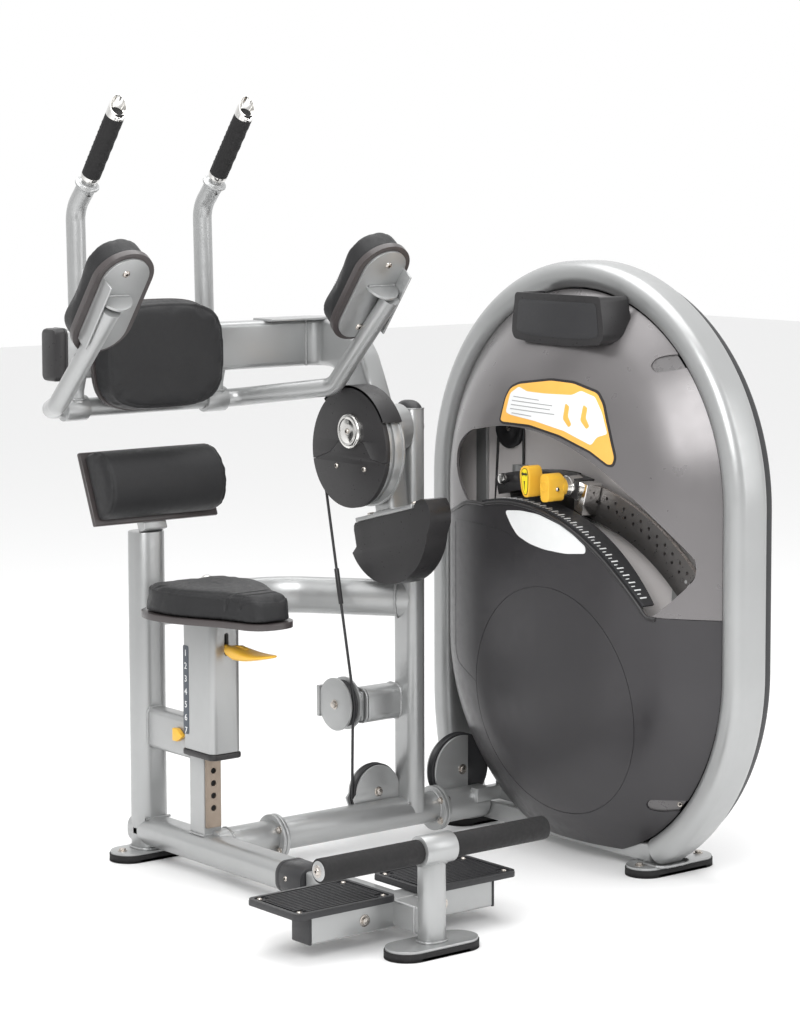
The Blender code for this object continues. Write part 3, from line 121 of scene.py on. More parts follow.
def surface(name, colour, second, roughness, metallic, blotch, spread, grain=900.0, height=0.00004,
            cells=False, **sockets):
    """Procedural material: two tones in soft blotches, uneven roughness and a fine surface grain."""
    made = bpy.data.materials.new(name)
    made.use_nodes = True
    tree = made.node_tree
    shader = tree.nodes["Principled BSDF"]
    shader.inputs["Metallic"].default_value = metallic
    for socket, value in sockets.items():
        shader.inputs[socket.replace("_", " ")].default_value = value
    place = tree.nodes.new("ShaderNodeTexCoord")
    tone = tree.nodes.new("ShaderNodeTexNoise")
    tone.inputs["Scale"].default_value = blotch
    tone.inputs["Detail"].default_value = 6.0
    link(tree, place, "Object", tone, "Vector")
    mix = tree.nodes.new("ShaderNodeMix")
    mix.data_type = "RGBA"
    mix.inputs[MIX_A].default_value = (*second, 1.0)
    mix.inputs[MIX_B].default_value = (*colour, 1.0)
    link(tree, tone, "Fac", mix, MIX_FACTOR)
    link(tree, mix, MIX_RESULT, shader, "Base Color")
    fine = tree.nodes.new("ShaderNodeTexNoise")
    fine.inputs["Scale"].default_value = blotch * 7.0
    fine.inputs["Detail"].default_value = 4.0
    link(tree, place, "Object", fine, "Vector")
    rough = tree.nodes.new("ShaderNodeMapRange")
    rough.inputs["From Min"].default_value = 0.3
    rough.inputs["From Max"].default_value = 0.7
    rough.inputs["To Min"].default_value = roughness - spread
    rough.inputs["To Max"].default_value = roughness + spread
    link(tree, fine, "Fac", rough, "Value")
    link(tree, rough, "Result", shader, "Roughness")
    if cells:
        bumps = tree.nodes.new("ShaderNodeTexVoronoi")
        bumps.inputs["Scale"].default_value = grain
        out = "Distance"
    else:
        bumps = tree.nodes.new("ShaderNodeTexNoise")
        bumps.inputs["Scale"].default_value = grain
        bumps.inputs["Detail"].default_value = 3.0
        out = "Fac"
    link(tree, place, "Object", bumps, "Vector")
    bump = tree.nodes.new("ShaderNodeBump")
    bump.inputs["Distance"].default_value = height
    bump.inputs["Strength"].default_value = 1.0
    link(tree, bumps, out, bump, "Height")
    link(tree, bump, "Normal", shader, "Normal")
    return made


# name, two tones, roughness, metallic, scale of the blotches, spread of the roughness, then the grain's
# scale and height where they are not the usual ones
SILVER = surface("silver_paint", (0.420, 0.426, 0.426), (0.378, 0.383, 0.383), 0.34, 0.62, 9.0, 0.05, 1600.0,
                 0.00003, Coat_Weight=0.15, Coat_Roughness=0.20)
WELD = surface("weld_silver", (0.41, 0.415, 0.415), (0.33, 0.335, 0.335), 0.36, 0.62, 60.0, 0.06, 300.0,
               0.0003)
VINYL = surface("black_vinyl", (0.022, 0.022, 0.023), (0.015, 0.015, 0.016), 0.50, 0.0, 14.0, 0.06, 850.0,
                0.00022, True, Specular_IOR_Level=0.30, Sheen_Weight=0.02, Sheen_Roughness=0.4)
THREAD = surface("black_thread", (0.014, 0.014, 0.014), (0.008, 0.008, 0.008), 0.7, 0.0, 200.0, 0.05)
RUBBER = surface("black_rubber", (0.022, 0.021, 0.022), (0.015, 0.015, 0.015), 0.66, 0.0, 20.0, 0.08, 700.0,
                 0.00016, Specular_IOR_Level=0.25)
BLACK = surface("black_plastic", (0.030, 0.029, 0.030), (0.022, 0.021, 0.022), 0.34, 0.0, 22.0, 0.07, 1300.0,
                0.00008, Specular_IOR_Level=0.38)
BOARD = surface("grey_board", (0.062, 0.052, 0.052), (0.046, 0.040, 0.040), 0.34, 0.0, 25.0, 0.06, 900.0,
                0.00007, Coat_Weight=0.2, Coat_Roughness=0.25)
CHROME = surface("chrome", (0.78, 0.77, 0.75), (0.70, 0.69, 0.67), 0.15, 1.0, 30.0, 0.03, 400.0, 0.000004)
STEEL = surface("plain_steel", (0.50, 0.47, 0.44), (0.40, 0.37, 0.35), 0.30, 0.95, 30.0, 0.08, 900.0, 0.00005)
RAIL = surface("rail_steel", (0.235, 0.225, 0.220), (0.180, 0.170, 0.165), 0.33, 0.85, 16.0, 0.07, 1200.0,
               0.00005)
YELLOW = surface("yellow_plastic", (0.86, 0.50, 0.055), (0.80, 0.43, 0.035), 0.36, 0.0, 35.0, 0.06, 900.0,
                 0.00005, Subsurface_Weight=0.05)
LEMON = surface("yellow_label", (0.86, 0.70, 0.02), (0.82, 0.66, 0.02), 0.40, 0.0, 60.0, 0.04)
SHELL = surface("shell_plastic", (0.188, 0.179, 0.181), (0.166, 0.158, 0.160), 0.30, 0.50, 4.0, 0.03, 1500.0,
                0.00001, Coat_Weight=0.25, Coat_Roughness=0.22)
DARK = surface("dark_plastic", (0.036, 0.036, 0.038), (0.028, 0.028, 0.030), 0.38, 0.0, 20.0, 0.07, 1200.0,
               0.00007, Specular_IOR_Level=0.35)
# Pale taupe liner inside the tower; its colour is also made lighter than the liner's own, as painted light
# for the light that reaches it from behind.
LINER_WITH_PAINTED_LIGHT = surface("taupe_liner_with_painted_light", (0.80, 0.765, 0.755), (0.74, 0.705, 0.695), 0.42, 0.0, 7.0, 0.05)
WHITE = surface("white_print", (0.82, 0.83, 0.83), (0.76, 0.77, 0.77), 0.42, 0.0, 30.0, 0.05)
AMBER = surface("amber_print", (0.86, 0.47, 0.10), (0.82, 0.43, 0.08), 0.42, 0.0, 40.0, 0.05)
SCREW = surface("plated_screw", (0.60, 0.56, 0.52), (0.48, 0.44, 0.40), 0.25, 1.0, 90.0, 0.08)
# Painted shade: a near-black colour laid on discs, rods, blocks and sheets in holes, sockets, slots and
# vents, standing in for the shade inside them.
HOLE_SHADE = surface("painted_hole_shade", (0.006, 0.006, 0.006), (0.004, 0.004, 0.004), 0.8, 0.0, 40.0, 0.05)
ASH = surface("grey_print", (0.36, 0.36, 0.36), (0.30, 0.30, 0.30), 0.5, 0.0, 60.0, 0.05)
SLOT = surface("slot_plastic", (0.150, 0.145, 0.146), (0.125, 0.120, 0.122), 0.30, 0.40, 12.0, 0.05)
LOWER = surface("lower_shell_plastic", (0.048, 0.046, 0.049), (0.040, 0.038, 0.041), 0.33, 0.30, 8.0, 0.05,
                2200.0)
STRIP = surface("number_strip", (0.068, 0.080, 0.098), (0.056, 0.066, 0.082), 0.40, 0.0, 40.0, 0.05)
TAN = surface("tan_steel", (0.40, 0.33, 0.27), (0.32, 0.26, 0.21), 0.36, 0.85, 60.0, 0.07, 900.0, 0.00006)


# ---------------------------------------------------------------- modelling tools
def new_object(name, data):
    thing = bpy.data.objects.new(name, data)
    scene.collection.objects.link(thing)
    return thing


def new_curve(name, lines, closed, dimensions="3D"):
    """Curve object with a straight-edged run for each line of points."""
    curve = bpy.data.curves.new(name, "CURVE")
    curve.dimensions = dimensions
    for line in lines:
        spline = curve.splines.new("POLY")
        spline.points.add(len(line) - 1)
        for point, place in zip(spline.points, line):
            point.co = (*place, 1.0)
        spline.use_cyclic_u = closed
    return new_object(name, curve)


def from_bmesh(name, shape):
    bmesh.ops.recalc_face_normals(shape, faces=shape.faces)
    mesh = bpy.data.meshes.new(name)
    shape.to_mesh(mesh)
    shape.free()
    return new_object(name, mesh)


def flatten(thing):
    """The object with its modifiers and its placement worked into its mesh."""
    bpy.context.view_layer.update()
    graph = bpy.context.evaluated_depsgraph_get()
    mesh = bpy.data.meshes.new_from_object(thing.evaluated_get(graph))
    mesh.transform(thing.matrix_world)
    name = thing.name
    bpy.data.objects.remove(thing, do_unlink=True)
    made = new_object(name, mesh)
    made.name = name
    return made


def weld(thing, distance, outward=False):
    """Merge vertices that lie together, and turn the faces outward if asked."""
    shape = bmesh.new()
    shape.from_mesh(thing.data)
    bmesh.ops.remove_doubles(shape, verts=shape.verts, dist=distance)
    if outward:
        bmesh.ops.recalc_face_normals(shape, faces=shape.faces)
    shape.to_mesh(thing.data)
    shape.free()


def soften(thing, width, segments, angle=30.0):
    """Weld the mesh, then round its hard edges."""
    weld(thing, 0.00001)
    rounding = thing.modifiers.new("rounding", "BEVEL")
    rounding.width = width
    rounding.segments = segments
    rounding.limit_method = "ANGLE"
    rounding.angle_limit = math.radians(angle)
    rounding.use_clamp_overlap = True
    return flatten(thing)


def block(name, size, centre, edge=0.0, turn=None, segments=3):
    shape = bmesh.new()
    bmesh.ops.create_cube(shape, size=1.0, matrix=Matrix.Diagonal((*size, 1.0)))
    if edge > 0.0:
        bmesh.ops.bevel(shape, geom=list(shape.edges), offset=edge, segments=segments, profile=0.5,
                        affect="EDGES", clamp_overlap=True)
    thing = from_bmesh(name, shape)
    place = Matrix.Translation(centre)
    thing.data.transform(place @ turn.to_4x4() if turn else place)
    return thing


def tube_block(name, size, centre, along, corner, end=0.002):
    """Straight tube of rounded rectangular section with lightly rounded ends."""
    shape = bmesh.new()
    bmesh.ops.create_cube(shape, size=1.0, matrix=Matrix.Diagonal((*size, 1.0)))
    axis = "XYZ".index(along)
    long_edges = [e for e in shape.edges
                  if abs(e.verts[0].co[axis] - e.verts[1].co[axis]) > size[axis] * 0.5]
    bmesh.ops.bevel(shape, geom=long_edges, offset=corner, segments=8, profile=0.5, affect="EDGES",
                    clamp_overlap=True)
    thing = from_bmesh(name, shape)
    thing.data.transform(Matrix.Translation(centre))
    return soften(thing, end, 2, 60.0)


def rod(name, radius, start, end, sides, end_radius=None, edge=0.001):
    """Round bar or cone frustum between two points."""
    start = Vector(start)
    end = Vector(end)
    shape = bmesh.new()
    bmesh.ops.create_cone(shape, cap_ends=True, segments=sides, radius1=radius,
                          radius2=radius if end_radius is None else end_radius, depth=(end - start).length)
    thing = from_bmesh(name, shape)
    turn = (end - start).to_track_quat("Z", "Y").to_matrix().to_4x4()
    thing.data.transform(Matrix.Translation((start + end) / 2) @ turn)
    return soften(thing, edge, 2, 60.0) if edge > 0.0 else thing


FACING = {
    "X": Matrix(((0, 0, 1), (1, 0, 0), (0, 1, 0))),
    "Y": Matrix(((1, 0, 0), (0, 0, -1), (0, 1, 0))),
    "Z": Matrix.Identity(3),
}


def plate(name, outlines, thick, facing, centre, edge=0.0, turn=None, segments=3):
    """Flat outline with a thickness; outlines after the first are holes."""
    thing = new_curve(name, [[(a, b, 0.0) for a, b in outline] for outline in outlines], True, "2D")
    thing.data.fill_mode = "BOTH"
    thing.data.extrude = thick / 2
    whole = Matrix.Translation(centre) @ (turn.to_4x4() if turn else Matrix.Identity(4))
    thing.matrix_world = whole @ FACING[facing].to_4x4()
    thing = flatten(thing)
    return soften(thing, edge, segments, 40.0) if edge > 0.0 else thing


def pipe(name, path, radius, resolution, flat=1.0):
    """Round or oval tube along a path."""
    thing = new_curve(name, [path], False)
    thing.data.bevel_depth = radius
    thing.data.bevel_resolution = resolution
    thing.data.use_fill_caps = True
    thing = flatten(thing)
    if flat != 1.0:
        level = path[0][2]
        for vertex in thing.data.vertices:
            vertex.co.z = level + (vertex.co.z - level) * flat
    return thing


def turned(name, profile, start, direction, steps):
    """Profile of (radius, distance along the axis) turned about that axis."""
    mesh = bpy.data.meshes.new(name)
    mesh.from_pydata([(r, 0.0, a) for r, a in profile], [(i, i + 1) for i in range(len(profile) - 1)], [])
    thing = new_object(name, mesh)
    screw = thing.modifiers.new("turn", "SCREW")
    screw.steps = steps
    screw.render_steps = steps
    screw.use_merge_vertices = True
    screw.merge_threshold = 0.00005
    turn = Vector(direction).to_track_quat("Z", "Y").to_matrix().to_4x4()
    thing.matrix_world = Matrix.Translation(start) @ turn
    thing = flatten(thing)
    weld(thing, 0.00002, True)
    return thing


def combine(thing, other, operation):
    """Exact boolean of two solids; the second is used up."""
    step = thing.modifiers.new("cut", "BOOLEAN")
    step.operation = operation
    step.object = other
    step.solver = "EXACT"
    thing = flatten(thing)
    bpy.data.objects.remove(other, do_unlink=True)
    return thing


def cut(thing, *others):
    for other in others:
        thing = combine(thing, other, "DIFFERENCE")
    return thing


def join(name, *things):
    """Several meshes as one object; each keeps its own material."""
    shape = bmesh.new()
    slots = []
    for thing in things:
        first = len(shape.faces)
        shape.from_mesh(thing.data)
        shape.faces.ensure_lookup_table()
        found = list(thing.data.materials) or [None]
        for item in found:
            if item not in slots:
                slots.append(item)
        for face in shape.faces[first:]:
            face.material_index = slots.index(found[min(face.material_index, len(found) - 1)])
    mesh = bpy.data.meshes.new(name)
    shape.to_mesh(mesh)
    shape.free()
    for item in slots:
        mesh.materials.append(item)
    for thing in things:
        bpy.data.objects.remove(thing, do_unlink=True)
    return new_object(name, mesh)


def look(thing, item):
    thing.data.materials.clear()
    thing.data.materials.append(item)
    return thing


def arc(centre, radius, first, last, count):
    points = []
    for i in range(count + 1):
        angle = math.radians(first + (last - first) * i / count)
        points.append((centre[0] + radius * math.cos(angle), centre[1] + radius * math.sin(angle)))
    return points


def circle(centre, radius, count):
    return arc(centre, radius, 0, 360, count)[:-1]


def sector(centre, outer, inner, first, last, count):
    """Outline between two radii, from one angle to another."""
    return arc(centre, outer, first, last, count) + arc(centre, inner, last, first, count)


def stadium(half_long, half_wide, count=20, upright=False):
    straight = half_long - half_wide
    points = arc((straight, 0.0), half_wide, -90, 90, count)
    points += arc((-straight, 0.0), half_wide, 90, 270, count)
    return [(b, -a) for a, b in points] if upright else points


def rounded_rect(half_a, half_b, corner, count=8):
    points = []
    for sign_a, sign_b, first in ((1, 1, 0), (-1, 1, 90), (-1, -1, 180), (1, -1, 270)):
        spot = (sign_a * (half_a - corner), sign_b * (half_b - corner))
        points += arc(spot, corner, first, first + 90, count)
    return points


def bent_path(corners, radii, steps):
    """Path through the corners, each rounded to its radius."""
    corners = [Vector(c) for c in corners]
    path = [corners[0]]
    for i, radius in enumerate(radii, start=1):
        back = (corners[i - 1] - corners[i]).normalized()
        ahead = (corners[i + 1] - corners[i]).normalized()
        half = back.angle(ahead) / 2
        centre = corners[i] + (back + ahead).normalized() * radius / math.sin(half)
        start = corners[i] + back * radius / math.tan(half) - centre
        end = corners[i] + ahead * radius / math.tan(half) - centre
        sweep = start.angle(end)
        for k in range(steps + 1):
            t = k / steps
            spot = (start * math.sin((1 - t) * sweep) + end * math.sin(t * sweep)) / math.sin(sweep)
            path.append(centre + spot)
    path.append(corners[-1])
    return path


def smooth_line(points, steps, closed=False):
    """Catmull-Rom curve through the points, in any number of dimensions."""
    count = len(points)
    made = []
    for i in range(count if closed else count - 1):
        if closed:
            four = [points[(i + k - 1) % count] for k in range(4)]
        else:
            four = [points[min(max(i + k - 1, 0), count - 1)] for k in range(4)]
        for k in range(steps):
            t = k / steps
            made.append(tuple(
                0.5 * (2 * b + (c - a) * t + (2 * a - 5 * b + 4 * c - d) * t * t
                       + (3 * b - a - 3 * c + d) * t ** 3)
                for a, b, c, d in zip(*four)))
    if not closed:
        made.append(tuple(points[-1]))
    return made


def loft(name, sections):
    """Closed solid through a row of sections."""
    shape = bmesh.new()
    rings = [[shape.verts.new(p) for p in ring] for ring in sections]
    count = len(rings[0])
    for near, far in zip(rings, rings[1:]):
        for i in range(count):
            j = (i + 1) % count
            shape.faces.new((near[i], near[j], far[j], far[i]))
    shape.faces.new(list(reversed(rings[0])))
    shape.faces.new(rings[-1])
    bmesh.ops.remove_doubles(shape, verts=shape.verts, dist=0.00001)
    return from_bmesh(name, shape)


def ring_path(centre, radius, direction, count, first=0.0, last=360.0):
    """Points of a circle (or part of one) about an axis."""
    turn = Vector(direction).to_track_quat("Z", "Y").to_matrix()
    points = []
    for i in range(count + (0 if last - first >= 360.0 else 1)):
        angle = math.radians(first + (last - first) * i / count)
        points.append(Vector(centre) + turn @ Vector((radius * math.cos(angle), radius * math.sin(angle), 0)))
    return points


def bead(path, radius, closed=False):
    """Weld bead: a thin tube whose surface ripples along its run."""
    steps = []
    total = len(path) if closed else len(path) - 1
    for i in range(total):
        here = Vector(path[i])
        there = Vector(path[(i + 1) % len(path)])
        parts = max(1, int((there - here).length / 0.0022))
        for k in range(parts):
            steps.append(here.lerp(there, k / parts))
    if not closed:
        steps.append(Vector(path[-1]))
    thing = new_curve("bead", [steps], closed)
    thing.data.bevel_depth = radius
    thing.data.bevel_resolution = 3
    for i, point in enumerate(thing.data.splines[0].points):
        point.radius = 1.0 + 0.16 * math.sin(i * 2.1) + 0.10 * math.sin(i * 0.73 + 1.0)
    return look(flatten(thing), WELD)


def hex_bolt(place, direction, across, high, washer):
    """Hexagon head with a washer under it, standing on the place given."""
    way = Vector(direction).normalized()
    place = Vector(place)
    disc = rod("washer", washer, place - way * 0.0005, place + way * 0.0014, 28, edge=0.0003)
    head = rod("head", across, place + way * 0.0012, place + way * high, 6, across * 0.97, 0.0008)
    dimple = rod("dimple", across * 0.55, place + way * (high - 0.0004), place + way * (high + 0.0003), 24,
                 edge=0.0002)
    return [look(part, SCREW) for part in (disc, head, dimple)]


def round_screw(place, direction, radius):
    """Domed socket screw."""
    way = Vector(direction).normalized()
    place = Vector(place)
    profile = [(0.0026, 0.0014), (0.0028, 0.0040), (radius * 0.55, 0.0042), (radius * 0.85, 0.0030),
               (radius, 0.0010), (radius, -0.0010)]
    head = look(turned("screw", profile, place, way, 28), SCREW)
    # The socket is a flat dark disc on the head: painted shade standing in for the hollow hex socket.
    socket = look(rod("socket", 0.0028, place, place + way * 0.0018, 6, edge=0.0), HOLE_SHADE)
    return [head, socket]


def finish(thing, body, replaces=(), item=None, smooth=40.0):
    """Move the piece to the frame's origin and say what it rides on and stands for."""
    if item is not None:
        look(thing, item)
    thing.data.transform(Matrix.Translation(HOME))
    thing.data.shade_smooth()
    thing.data.set_sharp_from_angle(angle=math.radians(smooth))
    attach(thing, body)
    if replaces:
        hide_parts(*replaces)
    return thing


# ---------------------------------------------------------------- cushions
COVER_GRID = 0.005                      # mesh size of a cushion before its cover is swelled
PRESSURE = 4.0
SWELL_FRAMES = 20


def puff(thing, hold, limit):
    """Swell a closed form like a stuffed cover; points for which hold() is true stay where they are."""
    step = thing.modifiers.new("remesh", "REMESH")
    step.mode = "VOXEL"
    step.voxel_size = COVER_GRID
    thing = flatten(thing)
    held = thing.vertex_groups.new(name="held")
    held.add([v.index for v in thing.data.vertices if hold(v.co)], 1.0, "REPLACE")
    before = [v.co.copy() for v in thing.data.vertices]
    cloth = thing.modifiers.new("cloth", "CLOTH")
    cloth.settings.quality = 5
    cloth.settings.vertex_group_mass = "held"
    cloth.settings.use_pressure = True
    cloth.settings.uniform_pressure_force = PRESSURE
    cloth.settings.effector_weights.gravity = 0.0
    for moment in range(1, SWELL_FRAMES + 1):
        scene.frame_set(moment)
    graph = bpy.context.evaluated_depsgraph_get()
    after = [v.co.copy() for v in thing.evaluated_get(graph).data.vertices]
    thing.modifiers.clear()
    thing.vertex_groups.clear()
    for vertex, start, end in zip(thing.data.vertices, before, after):
        move = end - start
        vertex.co = start + move * min(1.0, limit / max(move.length, 1e-9))
    scene.frame_set(1)
    step = thing.modifiers.new("even", "SMOOTH")
    step.factor = 0.5
    step.iterations = 4
    step = thing.modifiers.new("fine", "SUBSURF")
    step.levels = 1
    step.render_levels = 1
    return flatten(thing)


def on_surface(thing, path, direction):
    """Path dropped on to the surface along a direction, with the surface's own normals."""
    tree = BVHTree.FromPolygons([v.co for v in thing.data.vertices],
                                [p.vertices for p in thing.data.polygons])
    way = Vector(direction).normalized()
    found = []
    for place in path:
        hit, normal, _, _ = tree.ray_cast(Vector(place) - way * 0.3, way)
        if hit is None:
            hit, normal, _, _ = tree.find_nearest(Vector(place))
        found.append((hit, normal))
    return found


def seam(thing, path, direction, closed, flip, **sizes):
    """Sewn seam along a path that is dropped on to the cover."""
    return press_seam(thing, on_surface(thing, path, direction), closed, flip, **sizes)


def press_seam(thing, spots, closed, flip, depth=0.0016, wide=0.0030):
    """Sewn seam: a crease pressed into the cover, with a row of small stitches beside it."""
    fine = []
    count = len(spots) if closed else len(spots) - 1
    for i in range(count):
        here, normal = spots[i]
        there, other = spots[(i + 1) % len(spots)]
        parts = max(1, int((there - here).length / 0.002))
        for k in range(parts):
            t = k / parts
            fine.append((here.lerp(there, t), normal.lerp(other, t).normalized(),
                         (there - here).normalized()))
    tree = KDTree(len(fine))
    for i, (place, _, _) in enumerate(fine):
        tree.insert(place, i)
    tree.balance()
    for vertex in thing.data.vertices:
        _, index, far = tree.find(vertex.co)
        if far < wide * 3:
            vertex.co -= fine[index][1] * depth * math.exp(-(far / wide) ** 2)
    thing.data.update()
    shape = bmesh.new()
    walk = 0.0
    last = fine[0][0]
    side = 0.0030
    for place, normal, along in fine:
        walk += (place - last).length
        last = place
        if walk < 0.0052:
            continue
        walk = 0.0
        across = normal.cross(along).normalized()
        centre = place + across * side * flip - normal * (depth * math.exp(-(side / wide) ** 2) - 0.0001)
        turn = Matrix((along, across, normal)).transposed().to_4x4()
        size = Matrix.Diagonal((0.0019, 0.00055, 0.00045, 1.0))
        bmesh.ops.create_icosphere(shape, subdivisions=1, radius=1.0,
                                   matrix=Matrix.Translation(centre) @ turn @ size)
    name = thing.name
    if not thing.data.materials:
        look(thing, VINYL)
    return join(name, thing, look(from_bmesh("stitches", shape), THREAD))


# ---------------------------------------------------------------- rear frame
def lumbar_turn():
    return Matrix.Rotation(LUMBAR_LEAN, 3, "X")


def lumbar_place(along, out):
    return LUMBAR_BACK + lumbar_turn() @ Vector((0.0, -out, along))


def foot_plate(centre, half_long, half_wide):
    return plate("foot", [stadium(half_long, half_wide)], FOOT_PLATE, "Z",
                 (*centre, FOOT_TOP + FOOT_PLATE / 2), 0.0015)


def flange(x, side, bolts):
    """Round flange of the cross tube; its bolts stand on the side given."""
    centre = Vector((x, CROSS_Y, CROSS_Z - 0.004))
    disc = look(rod("flange", FLANGE_R, centre - Vector((0.004, 0, 0)), centre + Vector((0.004, 0, 0)), 64,
                    edge=0.0012), SILVER)
    parts = [disc]
    if bolts:
        for degrees in (35, 145, 215, 325):
            angle = math.radians(degrees)
            spot = centre + Vector((side * 0.004, 0.0385 * math.cos(angle), 0.0385 * math.sin(angle)))
            parts += hex_bolt(spot, (side, 0, 0), 0.0068, 0.0055, 0.0080)
    return parts


def foot_ring(centre, half_a, half_b, corner, z):
    """Closed path round an upright tube at one height."""
    return [(centre[0] + a, centre[1] + b, z) for a, b in rounded_rect(half_a, half_b, corner, 5)]


def make_rear_frame():
    post = tube_block("post", (0.070, 0.065, 0.6780 - FOOT_TOP), (0, 0, (0.690 + FOOT_TOP) / 2 - 0.002), "Z",
                      0.026)
    side = tube_block("side", (0.070, 0.53, 0.060), (0, -0.235, SIDE_TUBE_Z), "Y", 0.024)
    stub = rod("stub", CROSS_R, (0.0, CROSS_Y, CROSS_Z), (LEFT_FLANGE_X - 0.004, CROSS_Y, CROSS_Z), 64)
    inner = tube_block("inner", (0.044, 0.050, 0.235), (0, -0.209, 0.198), "Z", 0.004)
    brace = tube_block("brace", (0.044, 0.175, 0.084), (0, -0.108, 0.278), "Y", 0.012)
    bracket = block("bracket", (0.056, 0.026, 0.165), lumbar_place(-0.010, -0.0135), 0.003, lumbar_turn())
    parts = [look(p, SILVER) for p in (post, foot_plate((0, 0), 0.088, 0.040), side, stub, inner, brace,
                                       bracket)]
    parts += flange(LEFT_FLANGE_X - 0.0043, -1, True)
    parts.append(bead(foot_ring((0, 0), 0.036, 0.0335, 0.026, FOOT_TOP + 0.010), 0.0030, True))
    parts.append(bead(ring_path((0.0335, CROSS_Y, CROSS_Z), 0.0330, (1, 0, 0), 40), 0.0026, True))
    parts.append(bead([(0.0225 * s, y, 0.0885)
                       for s, y in ((1, -0.185), (1, -0.232), (-1, -0.232), (-1, -0.185))], 0.0026))
    wrap = rounded_rect(0.022, 0.042, 0.012, 5)
    parts.append(bead([(a, -0.0330, 0.278 + b) for a, b in wrap], 0.0026, True))
    parts.append(bead([(a, -0.1830, 0.278 + b) for a, b in wrap], 0.0024, True))
    parts.append(bead([(s * 0.0350, -0.034, SIDE_TUBE_Z + z) for s, z in ((1, -0.02), (1, 0.016))], 0.0026))
    parts.append(bead([(-0.030, -0.0325, 0.0865), (0.030, -0.0325, 0.0865)], 0.0028))
    for x in (-0.066, 0.066):
        parts += hex_bolt((x, 0.0, FOOT_TOP + FOOT_PLATE), (0, 0, 1), 0.0070, 0.0055, 0.0100)
    finish(join("rear_frame_steel", *parts), "frame", ("rear_frame",))


def make_foot_pads():
    pads = [("rear_foot_pad", (0, 0), 0.090, 0.042),
            ("footrest_pad", (0, -0.942), 0.100, 0.044),
            ("tower_front_pad", (TOWER_FOOT_X, TOWER_FEET_Y[0]), 0.107, 0.042),
            ("tower_rear_pad", (TOWER_FOOT_X, TOWER_FEET_Y[1]), 0.107, 0.042)]
    for node, centre, half_long, half_wide in pads:
        sole = plate(node, [stadium(half_long, half_wide, 24)], 0.0060, "Z", (*centre, 0.0030), 0.0012)
        rim = plate("rim", [stadium(half_long, half_wide, 24),
                            stadium(half_long - 0.0012, half_wide - 0.0012, 24)], 0.0150, "Z",
                    (*centre, 0.0082), 0.0005)
        bed = plate("bed", [stadium(half_long - 0.003, half_wide - 0.003, 24)], 0.0120, "Z",
                    (*centre, 0.0060))
        finish(join(node + "_rubber", sole, rim, bed), "frame", (node,), RUBBER)


def make_side_tube_cap():
    nose = tube_block("nose", (0.074, 0.082, 0.063), (0, -0.5414, SIDE_TUBE_Z), "Y", 0.025, 0.009)
    band = tube_block("band", (0.0752, 0.012, 0.0642), (0, -0.5070, SIDE_TUBE_Z), "Y", 0.0255, 0.002)
    parts = [look(nose, DARK), look(band, DARK)]
    for side in (1, -1):
        parts += round_screw((side * 0.0355, -0.535, SIDE_TUBE_Z + 0.004), (side, 0, 0), 0.0055)
    finish(join("side_tube_nose", *parts), "frame", ("side_tube_cap",))


def make_curved_beam():
    level = 0.520
    path = bent_path([(0.0, 0.0, level), (0.315, 0.0, level), (0.503, -0.2465, level)], [0.17], 28)
    beam = look(pipe("beam", path, 0.0225, 14, 0.078 / 0.045), SILVER)
    ends = []
    for place, way in ((Vector((0.034, 0.0, level)), Vector((1, 0, 0))),
                       (Vector((0.4835, -0.2210, level)), Vector((0.188, -0.2465, 0)).normalized())):
        across = way.cross(Vector((0, 0, 1)))
        loop = [place + across * 0.0228 * math.cos(t) + Vector((0, 0, 0.0392 * math.sin(t)))
                for t in [math.tau * k / 48 for k in range(48)]]
        ends.append(bead(loop, 0.0030, True))
    profile = [(0.0, 0.0175), (0.006, 0.0170), (0.0110, 0.0140), (0.0135, 0.0085), (0.0135, 0.0060),
               (0.0185, 0.0055), (0.0190, 0.0040), (0.0190, -0.0030)]
    knob = look(turned("knob", profile, (0.150, 0.0, level + 0.0385), (0, 0, 1), 40), CHROME)
    finish(join("curved_beam_steel", beam, *ends, knob), "frame", ("curved_beam",))


def make_lumbar_pad():
    """Roll-shaped lower back pad on its board; the roll is sewn to a flat cap at each end."""
    board = block("board", (0.300, 0.0105, 0.156), lumbar_place(0.0, 0.0056), 0.0035, lumbar_turn())
    finish(look(board, BOARD), "frame")
    outline = [(-0.0115, -0.0700)]
    outline += [(-0.0300 - 0.0610 * math.cos(t), 0.0700 * math.sin(t))
                for t in [math.radians(a) for a in range(-84, 85, 6)]]
    outline += [(-0.0115, 0.0700)]
    form = plate("lumbar_roll", [outline], 0.280, "X", (0, 0, 0), 0.006)
    form = puff(form, lambda p: p.y > -0.0150, 0.0042)
    loop = [(-0.0300 - 0.0640 * math.cos(t), 0.0712 * math.sin(t)) for t in
            [math.radians(a) for a in range(-90, 91, 5)]]
    for side in (-1, 1):
        form = ring_seam(form, [Vector((side * 0.1330, y, z)) for y, z in loop], side)
    form.data.transform(Matrix.Translation(LUMBAR_BACK) @ lumbar_turn().to_4x4())
    form.name = "lumbar_roll"
    finish(form, "frame", ("lumbar_cushion",))


def ring_seam(form, path, side):
    """Seam round one end of a roll; each point is dropped on to the cover from outside."""
    tree = BVHTree.FromPolygons([v.co for v in form.data.vertices], [p.vertices for p in form.data.polygons])
    found = []
    for place in path:
        away = Vector((0.0, place.y + 0.0300, place.z)).normalized()
        hit, normal, _, _ = tree.ray_cast(Vector((place.x, -0.030, 0.0)) + away * 0.2, -away)
        if hit is not None:
            found.append((hit, normal))
    return press_seam(form, found, False, -side)


